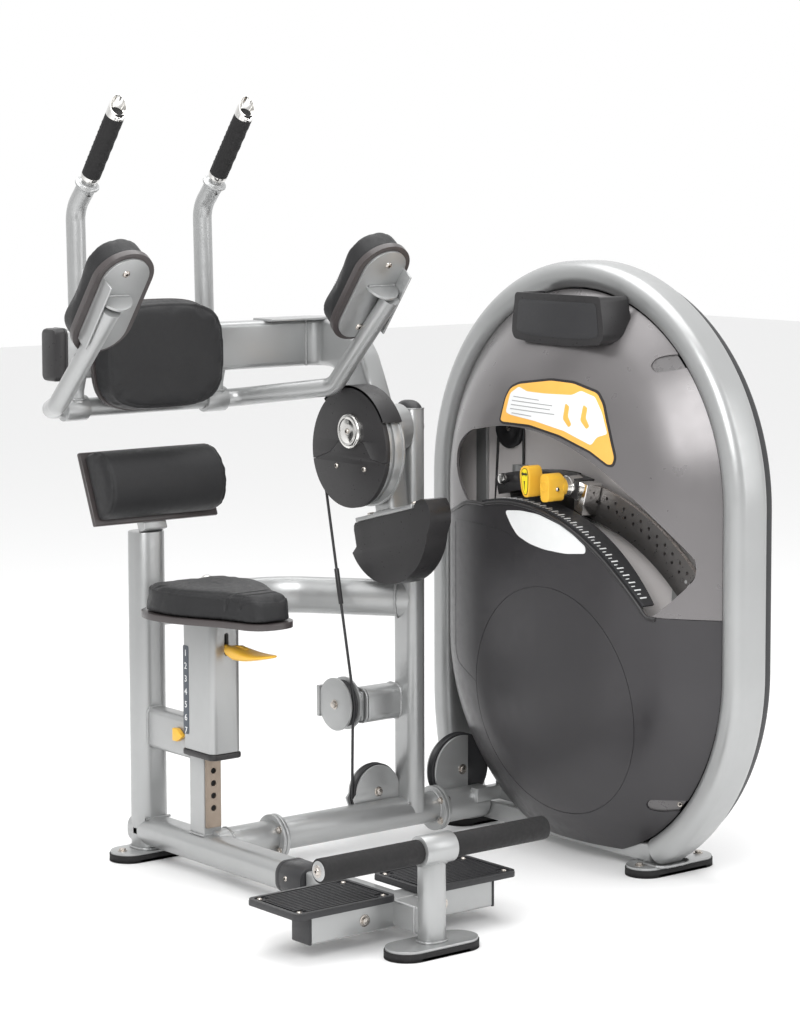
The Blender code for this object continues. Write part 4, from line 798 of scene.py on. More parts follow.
# ---------------------------------------------------------------- cross frame and pivot post
def make_cross_frame():
    first = LEFT_FLANGE_X + 0.0005
    last = RIGHT_FLANGE_X - 0.0005
    tube = rod("tube", CROSS_R, (first + 0.004, CROSS_Y, CROSS_Z), (last - 0.004, CROSS_Y, CROSS_Z), 64)
    tube = cut(tube, block("pocket", (0.140, 0.021, 0.147), (0.4305, CABLE_Y, 0.1235)))
    post = tube_block("post", (0.044, 0.069, 0.925 - CROSS_Z), (PIVOT_POST_X, CROSS_Y, (0.925 + CROSS_Z) / 2),
                      "Z", 0.018)
    stub = tube_block("stub", (0.092, 0.056, 0.074), (PIVOT_POST_X - 0.062, -0.207, 0.300), "X", 0.020)
    profile = [(0.0, 0.0152), (0.012, 0.0145), (0.020, 0.0125), (0.027, 0.0085), (0.0320, 0.0030),
               (0.0345, -0.0004)]
    cap = turned("cap", profile, (0, 0, 0), (0, 0, 1), 48)
    for vertex in cap.data.vertices:
        vertex.co.x *= 0.044 / 0.069
        vertex.co += Vector((PIVOT_POST_X, CROSS_Y, 0.925))
    parts = [look(p, SILVER) for p in (tube, post, stub)] + [look(cap, DARK)]
    parts += flange(first + 0.004, 1, False) + flange(last - 0.004, -1, True)
    for x in (first + 0.008, last - 0.008):
        parts.append(bead(ring_path((x, CROSS_Y, CROSS_Z), 0.0335, (1, 0, 0), 40), 0.0026, True))
    wrap = rounded_rect(0.0275, 0.0365, 0.020, 5)
    parts.append(bead([(PIVOT_POST_X - 0.0225, -0.207 + a, 0.300 + b) for a, b in wrap], 0.0026, True))
    parts.append(bead([(PIVOT_POST_X - 0.0225, CROSS_Y + 0.030 * math.cos(t),
                        0.0900 - 0.006 * abs(math.cos(t))) for t in [math.pi * k / 12 for k in range(13)]],
                      0.0026))
    parts.append(bead(foot_ring((PIVOT_POST_X, CROSS_Y), 0.0222, 0.0347, 0.018, 0.9235), 0.0010, True))
    x = PIVOT_POST_X + 0.0215
    parts.append(look(rod("washer", 0.019, (x, *HUB.yz), (x + 0.0022, *HUB.yz), 40, edge=0.0005), SCREW))
    parts += hex_bolt((x + 0.0020, *HUB.yz), (1, 0, 0), 0.0105, 0.0080, 0.0120)
    finish(join("cross_frame_steel", *parts), "frame", ("cross_frame",))


def make_pivot_shaft():
    shaft = rod("pivot_shaft_steel", 0.0140, (0.3445, HUB.y, HUB.z), (PIVOT_POST_X + 0.0212, HUB.y, HUB.z),
                48)
    finish(shaft, "frame", ("pivot_shaft",), STEEL)


# ---------------------------------------------------------------- seat
def seat_outline(grow, steps=10):
    half = [(0.0, -0.115), (0.045, -0.117), (0.085, -0.128), (0.112, -0.152), (0.126, -0.190),
            (0.127, -0.225), (0.117, -0.275), (0.098, -0.320), (0.076, -0.365), (0.062, -0.405),
            (0.054, -0.437), (0.040, -0.457), (0.020, -0.466), (0.0, -0.468)]
    whole = smooth_line(half + [(-x, y) for x, y in reversed(half[1:-1])], steps, True)
    middle_y = -0.29
    return [(x * (1 + grow / 0.12), middle_y + (y - middle_y) * (1 + grow / 0.17)) for x, y in whole]


def make_seat():
    strip_z = 0.2105
    holes = [circle((0.0, z - strip_z), 0.0062, 24) for z in SEAT_HOLES]
    strip = plate("strip", [rounded_rect(0.0180, 0.1075, 0.003)] + holes, 0.004, "Y",
                  (0, SEAT_TUBE_Y - 0.0024, strip_z), 0.0004)
    # Dark sheet behind the strip: painted shade showing in its holes, in place of the hollow tube behind
    # them.
    back = plate("back", [rounded_rect(0.0160, 0.1055, 0.003)], 0.0004, "Y",
                 (0, SEAT_TUBE_Y - 0.0003, strip_z))
    finish(join("seat_strip", look(strip, TAN), look(back, HOLE_SHADE)), "frame",
           ("seat_hole_strip",))

    top = SEAT_BOARD_Z - 0.0004
    low = 0.2625
    sleeve = tube_block("sleeve", (0.072, 0.108, top - low), (0, SEAT_TUBE_Y, (top + low) / 2), "Z", 0.014)
    slot = plate("slot", [rounded_rect(0.0052, 0.0230, 0.0051)], 0.060, "Y", (0, -0.281, 0.483))
    cavity = block("cavity", (0.045, 0.072, 0.300), (0, -0.2032, top - 0.165))
    sleeve = cut(sleeve, cavity, slot)
    reach = block("reach", (0.046, 0.085, 0.020), (0, -0.150, top - 0.0125), 0.003)
    # Dark block inside the sleeve behind its slot: painted shade of the hollow seen through the slot.
    well = block("well", (0.012, 0.030, 0.050), (0, -0.262, 0.483))
    parts = [look(sleeve, SILVER), look(reach, SILVER), look(well, HOLE_SHADE)]
    for y, radius in ((-0.252, 0.0058), (-0.215, 0.0050)):
        parts += round_screw((0.0360, y, 0.300), (1, 0, 0), radius)
    panel_x, panel_y = -0.0362, -0.1965
    panel = plate("panel", [rounded_rect(0.0095, 0.0900, 0.004)], 0.0008, "X", (panel_x, panel_y, 0.3830),
                  0.0002)
    parts.append(look(panel, STRIP))
    outward = Matrix(((0, 0, -1), (-1, 0, 0), (0, 1, 0))).to_4x4()
    for k in range(7):
        digit = number(str(7 - k), 0.0185)
        digit.data.transform(Matrix.Translation((panel_x - 0.0007, panel_y, 0.3000 + 0.0262 * k)) @ outward)
        parts.append(look(digit, WHITE))
    finish(join("seat_sleeve_steel", *parts), "seat", ("seat_sleeve",))

    collar = tube_block("collar", (0.077, 0.113, 0.0120), (0, SEAT_TUBE_Y, low - 0.0064), "Z", 0.015, 0.003)
    inner = block("inner", (0.0452, 0.0740, 0.1), (0, -0.2022, low))
    finish(cut(collar, inner), "seat", ("sleeve_bushing",), BLACK)

    board = plate("seat_base", [seat_outline(0.0)], 0.012, "Z", (0, 0, SEAT_BOARD_Z + 0.006), 0.004)
    finish(board, "seat", ("seat_board",), BOARD)
    form = plate("seat_cover", [seat_outline(-0.008)], 0.046, "Z", (0, 0, SEAT_BOARD_Z + 0.0124 + 0.0250),
                 0.016, segments=5)
    foot = SEAT_BOARD_Z + 0.0170
    form = puff(form, lambda p: p.z < foot, 0.0052)
    saddle(form)
    for start, sag in ((-0.398, 0.014), (-0.372, 0.012)):
        line = [Vector((x, start - sag * math.cos(x / 0.11 * math.pi / 2), 0.62))
                for x in [(-0.078 + 0.156 * k / 24) for k in range(25)]]
        form = seam(form, line, (0, 0, -1), False, 1, depth=0.0020, wide=0.0028)
    rim = [Vector((x, y, 0.62)) for x, y in seat_outline(-0.0165, 6)]
    form = seam(form, rim, (0, 0, -1), True, 1, depth=0.0015, wide=0.0028)
    finish(form, "seat", ("seat_cushion",))

    profile = [(0.0, 0.0260), (0.0060, 0.0260), (0.0065, 0.0255), (0.0065, 0.0140), (0.0044, 0.0138),
               (0.0044, 0.0008), (0.0036, 0.0), (0.0, 0.0)]
    pin = turned("seat_pin_steel", profile, (0, SEAT_TUBE_Y - 0.0052, SEAT_HOLES[-1]), (0, -1, 0), 32)
    finish(pin, "seat_pin", ("seat_lock_pin",), STEEL)

    stem = plate("stem", [[(-0.264, 0.4815), (-0.264, 0.4665), (-0.300, 0.4655), (-0.312, 0.4560),
                           (-0.330, 0.4560), (-0.360, 0.4600), (-0.360, 0.4840), (-0.340, 0.4880),
                           (-0.300, 0.4825)]], 0.0085, "X", (0, 0, 0), 0.002)
    sections = []
    for y, half, level, thick in ((-0.2960, 0.0120, 0.4745, 0.0130), (-0.3060, 0.0185, 0.4740, 0.0200),
                                  (-0.3300, 0.0215, 0.4715, 0.0290), (-0.3650, 0.0240, 0.4700, 0.0210),
                                  (-0.4000, 0.0250, 0.4720, 0.0130), (-0.4250, 0.0225, 0.4755, 0.0085),
                                  (-0.4400, 0.0160, 0.4780, 0.0062), (-0.4470, 0.0070, 0.4790, 0.0040)):
        ring = []
        for k in range(32):
            t = math.tau * k / 32
            a = math.copysign(abs(math.cos(t)) ** 0.6, math.cos(t)) * half
            b = math.copysign(abs(math.sin(t)) ** 0.8, math.sin(t)) * thick / 2
            ring.append((a, y, level + b))
        sections.append(ring)
    paddle = loft("paddle", sections)
    step = paddle.modifiers.new("fine", "SUBSURF")
    step.levels = 2
    finish(join("seat_lever_yellow", look(stem, YELLOW), look(flatten(paddle), YELLOW)), "seat_lever",
           ("seat_lever",))

    pointer = plate("seat_pointer", [[(-0.1400, 0.2700), (-0.1400, 0.2960), (-0.1560, 0.2960),
                                      (-0.1760, 0.2830), (-0.1560, 0.2700)]], 0.0110, "X", (-0.0285, 0, 0),
                    0.0020)
    finish(pointer, "frame", item=YELLOW)


def number(text, height):
    """A digit, standing in its own plane."""
    curve = bpy.data.curves.new("digit", "FONT")
    curve.body = text
    curve.size = height
    curve.align_x = "CENTER"
    curve.align_y = "CENTER"
    curve.extrude = 0.0002
    return flatten(new_object("digit", curve))


def saddle(form):
    """Dip the middle of the seat a little and let its nose fall towards the front."""
    high = max(v.co.z for v in form.data.vertices)
    for vertex in form.data.vertices:
        place = vertex.co
        share = max(0.0, (place.z - high + 0.045) / 0.045)
        dip = 0.0045 * math.exp(-((place.x / 0.060) ** 2 + ((place.y + 0.225) / 0.075) ** 2))
        nose = 0.010 * max(0.0, (-0.395 - place.y) / 0.07) ** 2
        place.z -= share * (dip + nose)


# ---------------------------------------------------------------- footrest
def make_footrest():
    post = tube_block("post", (0.052, 0.042, 0.170), (0, -0.942, FOOT_TOP + 0.090), "Z", 0.018)
    foot = foot_plate((0, -0.942), 0.098, 0.042)
    beam = tube_block("beam", (0.050, 0.366, 0.050), (0, -0.7690, 0.0590), "Y", 0.005)
    bar = tube_block("bar", (0.424, 0.054, 0.054), (0, CROSSBAR_Y, 0.0590), "X", 0.005)
    hub = rod("hub", 0.0285, (-0.036, FOOT_BAR.y, FOOT_BAR.z), (0.036, FOOT_BAR.y, FOOT_BAR.z), 64)
    parts = [look(p, SILVER) for p in (post, foot, beam, bar, hub)]
    parts.append(bead(foot_ring((0, -0.942), 0.0268, 0.0218, 0.018, FOOT_TOP + 0.010), 0.0028, True))
    parts.append(bead([(0.026 * math.sin(t), -0.946 + 0.021 * math.cos(t), 0.1690 + 0.004 * math.cos(2 * t))
                       for t in [math.tau * k / 36 for k in range(36)]], 0.0026, True))
    parts.append(bead([(0.0255 * s, -0.9218, z)
                       for s, z in ((-1, 0.036), (-1, 0.082), (1, 0.082), (1, 0.036))], 0.0026))
    for side in (-1, 1):
        plug = block("plug", (0.0066, 0.055, 0.055), (side * 0.2146, CROSSBAR_Y, 0.0590), 0.0022)
        parts.append(look(plug, DARK))
    for x in (-0.092, 0.092):
        parts += hex_bolt((x, CROSSBAR_Y - 0.0270, 0.0570), (0, -1, 0), 0.0080, 0.0065, 0.0115)
    finish(join("footrest_steel", *parts), "frame", ("footrest_frame",))
    axle = rod("foot_axle", 0.0120, (-0.2660, FOOT_BAR.y, FOOT_BAR.z), (0.2660, FOOT_BAR.y, FOOT_BAR.z), 40)
    finish(axle, "frame", ("foot_bar_axle",), STEEL)

    for side, name in SIDES:
        body = "foot_roller_" + name
        profile = [(0.0126, 0.2250), (0.0195, 0.2250), (0.0216, 0.2243), (0.0225, 0.2225), (0.0225, 0.0025),
                   (0.0216, 0.0007), (0.0205, 0.0), (0.0126, 0.0)]
        start = Vector((side * 0.0370, FOOT_BAR.y, FOOT_BAR.z))
        cover = look(turned("cover", profile, start, (side, 0, 0), 64), RUBBER)
        end = start + Vector((side * 0.2240, 0, 0))
        lid = look(turned("lid", [(0.0, 0.0040), (0.0120, 0.0040), (0.0165, 0.0030), (0.0185, 0.0008),
                                  (0.0185, -0.0020)], end, (side, 0, 0), 48), SILVER)
        bolt = round_screw(end + Vector((side * 0.0040, 0, 0)), (side, 0, 0), 0.0072)
        finish(join("foot_roll_" + name, cover, lid, *bolt), body, (body,))
    for side, name in SIDES:
        make_tread(side, name)


def make_tread(side, name):
    """Moulded foot plate with ribs across it, a raised border and a screw in each corner."""
    centre = Vector((side * 0.145, -0.800, 0.0930))
    base = plate("base", [rounded_rect(0.114, 0.080, 0.014)], 0.0085, "Z", centre - Vector((0, 0, 0.0017)),
                 0.0022)
    rim = plate("rim", [rounded_rect(0.1135, 0.0795, 0.014), rounded_rect(0.1055, 0.0715, 0.009)], 0.0052,
                "Z", centre + Vector((0, 0, 0.0034)), 0.0012)
    parts = [base, rim]
    for k in range(15):
        y = -0.0630 + 0.0090 * k
        half = 0.1000 if abs(y) < 0.050 else 0.082
        parts.append(block("rib", (half * 2, 0.0042, 0.0040), centre + Vector((0, y, 0.0040)), 0.0012,
                           segments=2))
    parts = [look(p, DARK) for p in parts]
    for a in (-1, 1):
        for b in (-1, 1):
            parts += round_screw(centre + Vector((a * 0.0955, b * 0.0615, 0.0030)), (0, 0, 1), 0.0050)
    finish(join("foot_tread_" + name, *parts), "frame", ("foot_plate_" + name,))


# ---------------------------------------------------------------- crunch arm
def arm_section(place, depth_way, along, high, deep, corner):
    high_way = along.cross(depth_way).normalized()
    return [place + depth_way * a + high_way * b for a, b in rounded_rect(deep / 2, high / 2, corner, 6)]


def make_arm():
    level = [(Vector((-0.200, BOX_Y, BOX_Z)), Vector((0, 1, 0)), Vector((1, 0, 0)), 0.100, 0.050)]
    bend = 0.050
    for k in range(13):
        angle = math.radians(90 * k / 12)
        spot = Vector((ARM_X - bend + bend * math.sin(angle), BOX_Y - bend + bend * math.cos(angle), BOX_Z))
        out = Vector((math.sin(angle), math.cos(angle), 0))
        level.append((spot, out, Vector((math.cos(angle), -math.sin(angle), 0)), 0.100, 0.050))
    drop = 0.105
    start_y = BOX_Y - bend - 0.010
    run = []
    for k in range(1, 6):
        angle = math.radians(62 * k / 5)
        run.append((start_y - drop * math.sin(angle), BOX_Z - drop * (1 - math.cos(angle)), 62 * k / 5,
                    0.100 - 0.001 * k))
    run += [(-0.193, 0.925, 66, 0.094), (-0.229, 0.835, 72, 0.088), (-0.252, 0.765, 76, 0.066),
            (-0.2650, 0.7120, 76, 0.060)]
    for y, z, lean, high in smooth_line([(start_y + 0.010, BOX_Z, 0.0, 0.100)] + run, 6)[1:]:
        angle = math.radians(lean)
        level.append((Vector((ARM_X, y, z)), Vector((1, 0, 0)),
                      Vector((0, -math.cos(angle), -math.sin(angle))), high, 0.052))
    arm = look(loft("arm", [arm_section(*s, 0.012) for s in level]), SILVER)
    boss = rod("boss", 0.050, (0.4035, HUB.y, HUB.z), (0.4765, HUB.y, HUB.z), 72, edge=0.0015)
    foot = block("foot", (0.062, 0.196, 0.009), ARM_FLANGE, 0.002, ARM_FLANGE_TURN)
    gusset = plate("gusset", [[(0.285, -0.050), (0.300, -0.053), (0.400, -0.062), (0.440, -0.050),
                               (0.455, -0.030), (0.445, 0.000), (0.420, 0.016), (0.285, 0.018)]], 0.005, "Z",
                   (0, 0, BOX_Z + 0.0515), 0.0012)
    parts = [arm] + [look(p, SILVER) for p in (boss, foot, gusset)]
    for side in (-1, 1):
        sleeve = rod("sleeve", 0.026, (side * 0.195, 0.0, PAD_TUBE_Z), (side * 0.143, 0.0, PAD_TUBE_Z), 56,
                     edge=0.0015)
        sections = []
        for z, wide, deep in ((1.0080, 0.047, 0.034), (0.9950, 0.040, 0.036), (0.9800, 0.032, 0.038),
                              (0.9600, 0.030, 0.040), (0.9480, 0.036, 0.042)):
            sections.append([(side * 0.169 + a, -0.003 + b, z) for a, b in
                             rounded_rect(wide / 2, deep / 2, 0.010, 5)])
        neck = loft("neck", sections)
        parts += [look(sleeve, SILVER), look(neck, SILVER)]
        parts.append(bead([(side * 0.169 + a, -0.003 + b, 0.9640) for a, b in
                           rounded_rect(0.0160, 0.0200, 0.010, 5)], 0.0024, True))
    parts.append(bead([(0.3880, -0.0302, 1.0060 + 0.098 * k / 20) for k in range(21)], 0.0026))
    parts.append(bead([(0.3880, -0.0302 + 0.002 * k, 1.1050) for k in range(5)], 0.0024))
    parts.append(bead([(0.287, -0.051 + 0.0690 * k / 10, 1.1050) for k in range(11)], 0.0020))
    parts.append(bead([(0.300 + 0.013 * k, -0.0270, 1.1060) for k in range(8)], 0.0022))
    for y in (-0.072, 0.080):
        parts += hex_bolt(ARM_FLANGE + ARM_FLANGE_TURN @ Vector((0, y, 0.0045)),
                          ARM_FLANGE_TURN @ Vector((0, 0, 1)), 0.0085, 0.0065, 0.0110)
    parts.append(bead([ARM_FLANGE + ARM_FLANGE_TURN @ Vector((a, b + 0.006, 0.0048)) for a, b in
                       rounded_rect(0.0275, 0.0325, 0.012, 5)], 0.0028, True))
    parts.append(bead(ring_path((0.4108, HUB.y, HUB.z), 0.0503, (1, 0, 0), 60, 20, 340), 0.0022))
    finish(join("arm_steel", *parts), "crunch_arm", ("arm_frame",))
    cap = tube_block("cap", (0.030, 0.056, 0.106), (-0.2154, BOX_Y, BOX_Z), "X", 0.014, 0.007)
    band = tube_block("band", (0.0060, 0.0572, 0.1072), (-0.2034, BOX_Y, BOX_Z), "X", 0.0145, 0.0012)
    finish(join("arm_cap", look(cap, BLACK), look(band, BLACK)), "crunch_arm",
           ("arm_end_cap",))


def make_counterweight():
    """Half-round cast weight with a wide lip, bolted under the arm's flange."""
    outline = [(0.104, -0.0060), (0.110, -0.0120), (0.112, -0.0200), (0.112, -0.0560)]
    outline += [(0.136 * math.cos(math.radians(a)), -0.030 - 0.120 * math.sin(math.radians(a)))
                for a in range(18, 163, 4)]
    outline += [(-0.146, -0.0450), (-0.151, -0.0250), (-0.150, -0.0080), (-0.143, 0.0050), (-0.128, 0.0085),
                (-0.112, 0.0070), (-0.098, -0.0060)]
    turn = ARM_FLANGE_TURN
    weight = plate("weight", [outline], 0.056, "X", ARM_FLANGE + turn @ Vector((0, 0, 0.0011)), 0.013, turn,
                   6)
    room = block("room", (0.2, 0.2056, 0.09), ARM_FLANGE + turn @ Vector((0, 0, 0.0401)), turn=turn)
    weight = look(cut(weight, room), BLACK)
    weight.name = "counterweight_cast"
    finish(weight, "crunch_arm", ("counterweight",))


# ---------------------------------------------------------------- drum on the arm
def drum_lobe(angle):
    """How much further out than a circle the drum's rim is, as a factor."""
    return 1.0 + 0.05 * max(0.0, math.cos(angle + math.radians(28))) ** 3


def drum_outline(radius):
    points = []
    for i in range(120):
        angle = math.tau * i / 120
        reach = radius * drum_lobe(angle)
        points.append((DRUM.y + reach * math.cos(angle), DRUM.z + reach * math.sin(angle)))
    return points


def make_drum():
    parts = []
    layers = [(DRUM_R, 0.3622, 0.3675, 0.001), (DRUM_R - 0.0075, 0.3660, 0.3780, 0.0),
              (DRUM_R - 0.0010, 0.3763, 0.3965, 0.0015), (DRUM_R + 0.0020, 0.3960, 0.3998, 0.0012)]
    for radius, low, high, edge in layers:
        parts.append(plate("layer", [drum_outline(radius)], high - low, "X", ((low + high) / 2, 0, 0), edge))
    finish(join("drum_layers", *parts), "crunch_arm", ("cable_drum",), SILVER)

    split = [(-0.060, 0.815), (-0.110, 0.8170), (-0.165, 0.8350), (-0.198, 0.8620), (-0.278, 0.8620),
             (-0.305, 0.8300), (-0.345, 0.8250), (-0.420, 0.8330)]
    above = split + [(-0.42, 1.10), (-0.06, 1.10)]
    below = [(y, z + 0.0009) for y, z in split] + [(-0.46, 0.60), (0.0, 0.60)]
    upper = plate("upper", [drum_outline(DRUM_R + 0.002)], 0.0115, "X", (0.3557, 0, 0))
    upper = soften(cut(upper, plate("lower", [below], 0.2, "X", (0.38, 0, 0))), 0.0016, 3)
    hood = plate("hood", [sector(DRUM.yz, DRUM_R + 0.0085, DRUM_R + 0.0028, 48, 152, 60)], 0.0485, "X",
                 (0.37425, 0, 0), 0.0014)
    shoulder = plate("shoulder", [sector(DRUM.yz, DRUM_R + 0.0075, DRUM_R - 0.014, 49, 151, 60)], 0.0120, "X",
                     (0.3560, 0, 0), 0.0050)
    parts = [look(p, BLACK) for p in (upper, hood, shoulder)]
    finish(join("drum_cover_top", *parts), "crunch_arm", ("drum_cover_upper",))
    lower = plate("lower", [drum_outline(DRUM_R + 0.002)], 0.0115, "X", (0.3557, 0, 0))
    lower = soften(cut(lower, plate("above", [above], 0.2, "X", (0.38, 0, 0))), 0.0016, 3)
    parts = [look(lower, BLACK)]
    for y, z in ((-0.188, 0.8080), (-0.283, 0.8080)):
        parts += round_screw((0.3502, y, z), (-1, 0, 0), 0.0058)
    finish(join("drum_cover_base", *parts), "crunch_arm", ("drum_cover_lower",))

    profile = [(0.0, 0.0092), (0.0055, 0.0092), (0.0060, 0.0098), (0.0240, 0.0104), (0.0248, 0.0098),
               (0.0262, 0.0098), (0.0270, 0.0103), (0.0325, 0.0098), (0.0350, 0.0085), (0.0365, 0.0060),
               (0.0365, 0.0)]
    cap = look(turned("cap", profile, (0.3496, HUB.y, HUB.z), (-1, 0, 0), 72), CHROME)
    bolt = round_screw((0.3402, HUB.y, HUB.z), (-1, 0, 0), 0.0060)
    finish(join("hub_cap_chrome", cap, *bolt), "crunch_arm", ("hub_cap",))


def grip_height(theta, run):
    """Raised pattern of a moulded grip: finger waves in front, slanted leaf ribs on both sides."""
    inside = max(0.0, min(1.0, (run - 0.014) / 0.010)) * max(0.0, min(1.0, (0.136 - run) / 0.010))
    fingers = 0.0010 * math.cos(math.tau * run / 0.0265) * max(0.0, math.cos(theta)) ** 2
    leaf = 0.0
    for middle_angle in (math.radians(120), math.radians(240)):
        off = math.atan2(math.sin(theta - middle_angle), math.cos(theta - middle_angle))
        width = max(0.0, 1.0 - (off / 0.62) ** 4)
        rib = max(0.0, math.sin(math.tau * (run / 0.0125 + abs(off) * 0.9))) ** 2
        leaf += width * rib * 0.0008
        edge = math.exp(-((abs(off) - 0.66) / 0.05) ** 2)
        leaf -= edge * 0.0007
    return inside * (fingers + leaf)


def make_handles():
    for side, name in SIDES:
        x = side * HANDLE_X
        bottom = BOX_Z + 0.0504
        way = Vector((0, -0.140, 0.180)).normalized()
        collar = Vector((x, -0.031, 1.388))
        path = bent_path([(x, 0.004, bottom), (x, 0.0105, 1.345), tuple(collar - way * 0.001)], [0.060], 20)
        tube = look(pipe("tube", path, 0.0195, 14), SILVER)
        profile = [(0.0190, -0.0040), (0.0196, 0.0000), (0.0215, 0.0030), (0.0245, 0.0055), (0.0252, 0.0075),
                   (0.0245, 0.0095), (0.0225, 0.0104), (0.0200, 0.0108), (0.0185, 0.0125), (0.0170, 0.0135),
                   (0.0128, 0.0140), (0.0124, 0.0240)]
        ring = look(turned("ring", profile, collar, way, 64), SILVER)
        profile = [(0.0124, 0.0170), (0.0150, 0.0185), (0.0180, 0.0225), (0.0192, 0.0270), (0.0194, 0.0330),
                   (0.0120, 0.0332)]
        bell = look(turned("bell", profile, collar, way, 64), CHROME)
        outer = Vector((0, -0.789, -0.614))
        spot = collar - way * 0.007 + outer * 0.0190
        # Dark rod in the ring: painted shade standing in for a hole.
        hole = look(rod("hole", 0.0028, spot - Vector((0, 0.001, 0)), spot + Vector((0, -0.0012, -0.0008)),
                        20, edge=0.0), HOLE_SHADE)
        foot = bead([(x + 0.0195 * math.cos(t), 0.004 + 0.0195 * math.sin(t), bottom + 0.0012)
                     for t in [math.tau * k / 40 for k in range(40)]], 0.0022, True)
        finish(join("handle_tube_" + name, tube, ring, bell, hole, foot), "crunch_arm",
               ("handle_" + name,))

        shell = turned("shell", [(0.0120, 0.1800), (0.0192, 0.1800), (0.0194, 0.1830), (0.0196, 0.2300),
                                 (0.0178, 0.2300), (0.0172, 0.1990), (0.0100, 0.1880), (0.0, 0.1870)],
                       collar, way, 72)
        lean = Vector((0, -0.985, 0.174)).to_track_quat("Z", "Y").to_matrix()
        slice_off = block("slice", (0.2, 0.2, 0.1), collar + way * 0.2020 + lean @ Vector((0, 0, 0.050)),
                          turn=lean)
        shell = look(cut(shell, slice_off), CHROME)
        # Dark disc inside the open end of the shell: painted shade of its hollow.
        deep = look(rod("deep", 0.0168, collar + way * 0.1890, collar + way * 0.1915, 40, edge=0.0), HOLE_SHADE)
        # Small dark dot on the shell: painted shade standing in for a small recess.
        spot = collar + way * 0.190 + outer * 0.0192
        pip = look(rod("pip", 0.0022, spot, spot + outer * 0.0006, 16, edge=0.0), HOLE_SHADE)
        finish(join("handle_end_" + name, shell, deep, pip), "crunch_arm")

        frame_way = way.to_track_quat("Z", "Y").to_matrix()
        sections = []
        for k in range(101):
            run = 0.150 * k / 100
            base = 0.0192 - 0.0009 * max(0.0, 1 - run / 0.003) - 0.0009 * max(0.0, 1 - (0.150 - run) / 0.003)
            step = 0.0007 if 0.006 < run < 0.0075 else 0.0
            ring = []
            for j in range(96):
                theta = math.tau * j / 96
                reach = base - step + grip_height(theta, run)
                flat = frame_way @ Vector((reach * math.sin(theta), -reach * math.cos(theta), 0.0))
                ring.append(collar + way * (0.030 + run) + flat)
            sections.append(ring)
        finish(loft("hand_grip_" + name, sections), "crunch_arm", ("grip_" + name,), RUBBER,
               70.0)


def superellipse(half_a, half_b, power):
    points = []
    for k in range(96):
        t = math.tau * k / 96
        a = math.copysign(abs(math.cos(t)) ** (2 / power), math.cos(t)) * half_a
        b = math.copysign(abs(math.sin(t)) ** (2 / power), math.sin(t)) * half_b
        points.append((a, b))
    return points


def make_back_pad():
    front = BOX_Y - 0.025
    board = plate("back_board", [superellipse(0.1470, 0.1130, 3.4)], 0.010, "Y",
                  (0, front - 0.0054, BACK_PAD_Z), 0.003)
    finish(board, "crunch_arm", item=BOARD)
    form = plate("back_pad", [superellipse(0.1455, 0.1115, 3.4)], 0.046, "Y",
                 (0, front - 0.0104 - 0.0230, BACK_PAD_Z), 0.013, segments=5)
    form = puff(form, lambda p: p.y > front - 0.0150, 0.0055)
    path = [Vector((a, front - 0.08, BACK_PAD_Z + b)) for a, b in superellipse(0.1345, 0.1010, 3.2)]
    form = seam(form, path, (0, 1, 0), True, 1, depth=0.0018, wide=0.0028)
    form.name = "back_pad"
    finish(form, "crunch_arm", ("back_cushion",))


# ---------------------------------------------------------------- arm pads
def arm_pad_turn():
    return Matrix.Rotation(ARM_PAD_LEAN, 3, "X")


def arm_pad_place(side, back, along, across=0.0):
    centre = Vector((side * ARM_PAD.x, ARM_PAD.y, ARM_PAD.z))
    return centre + arm_pad_turn() @ Vector((side * across, back, along))


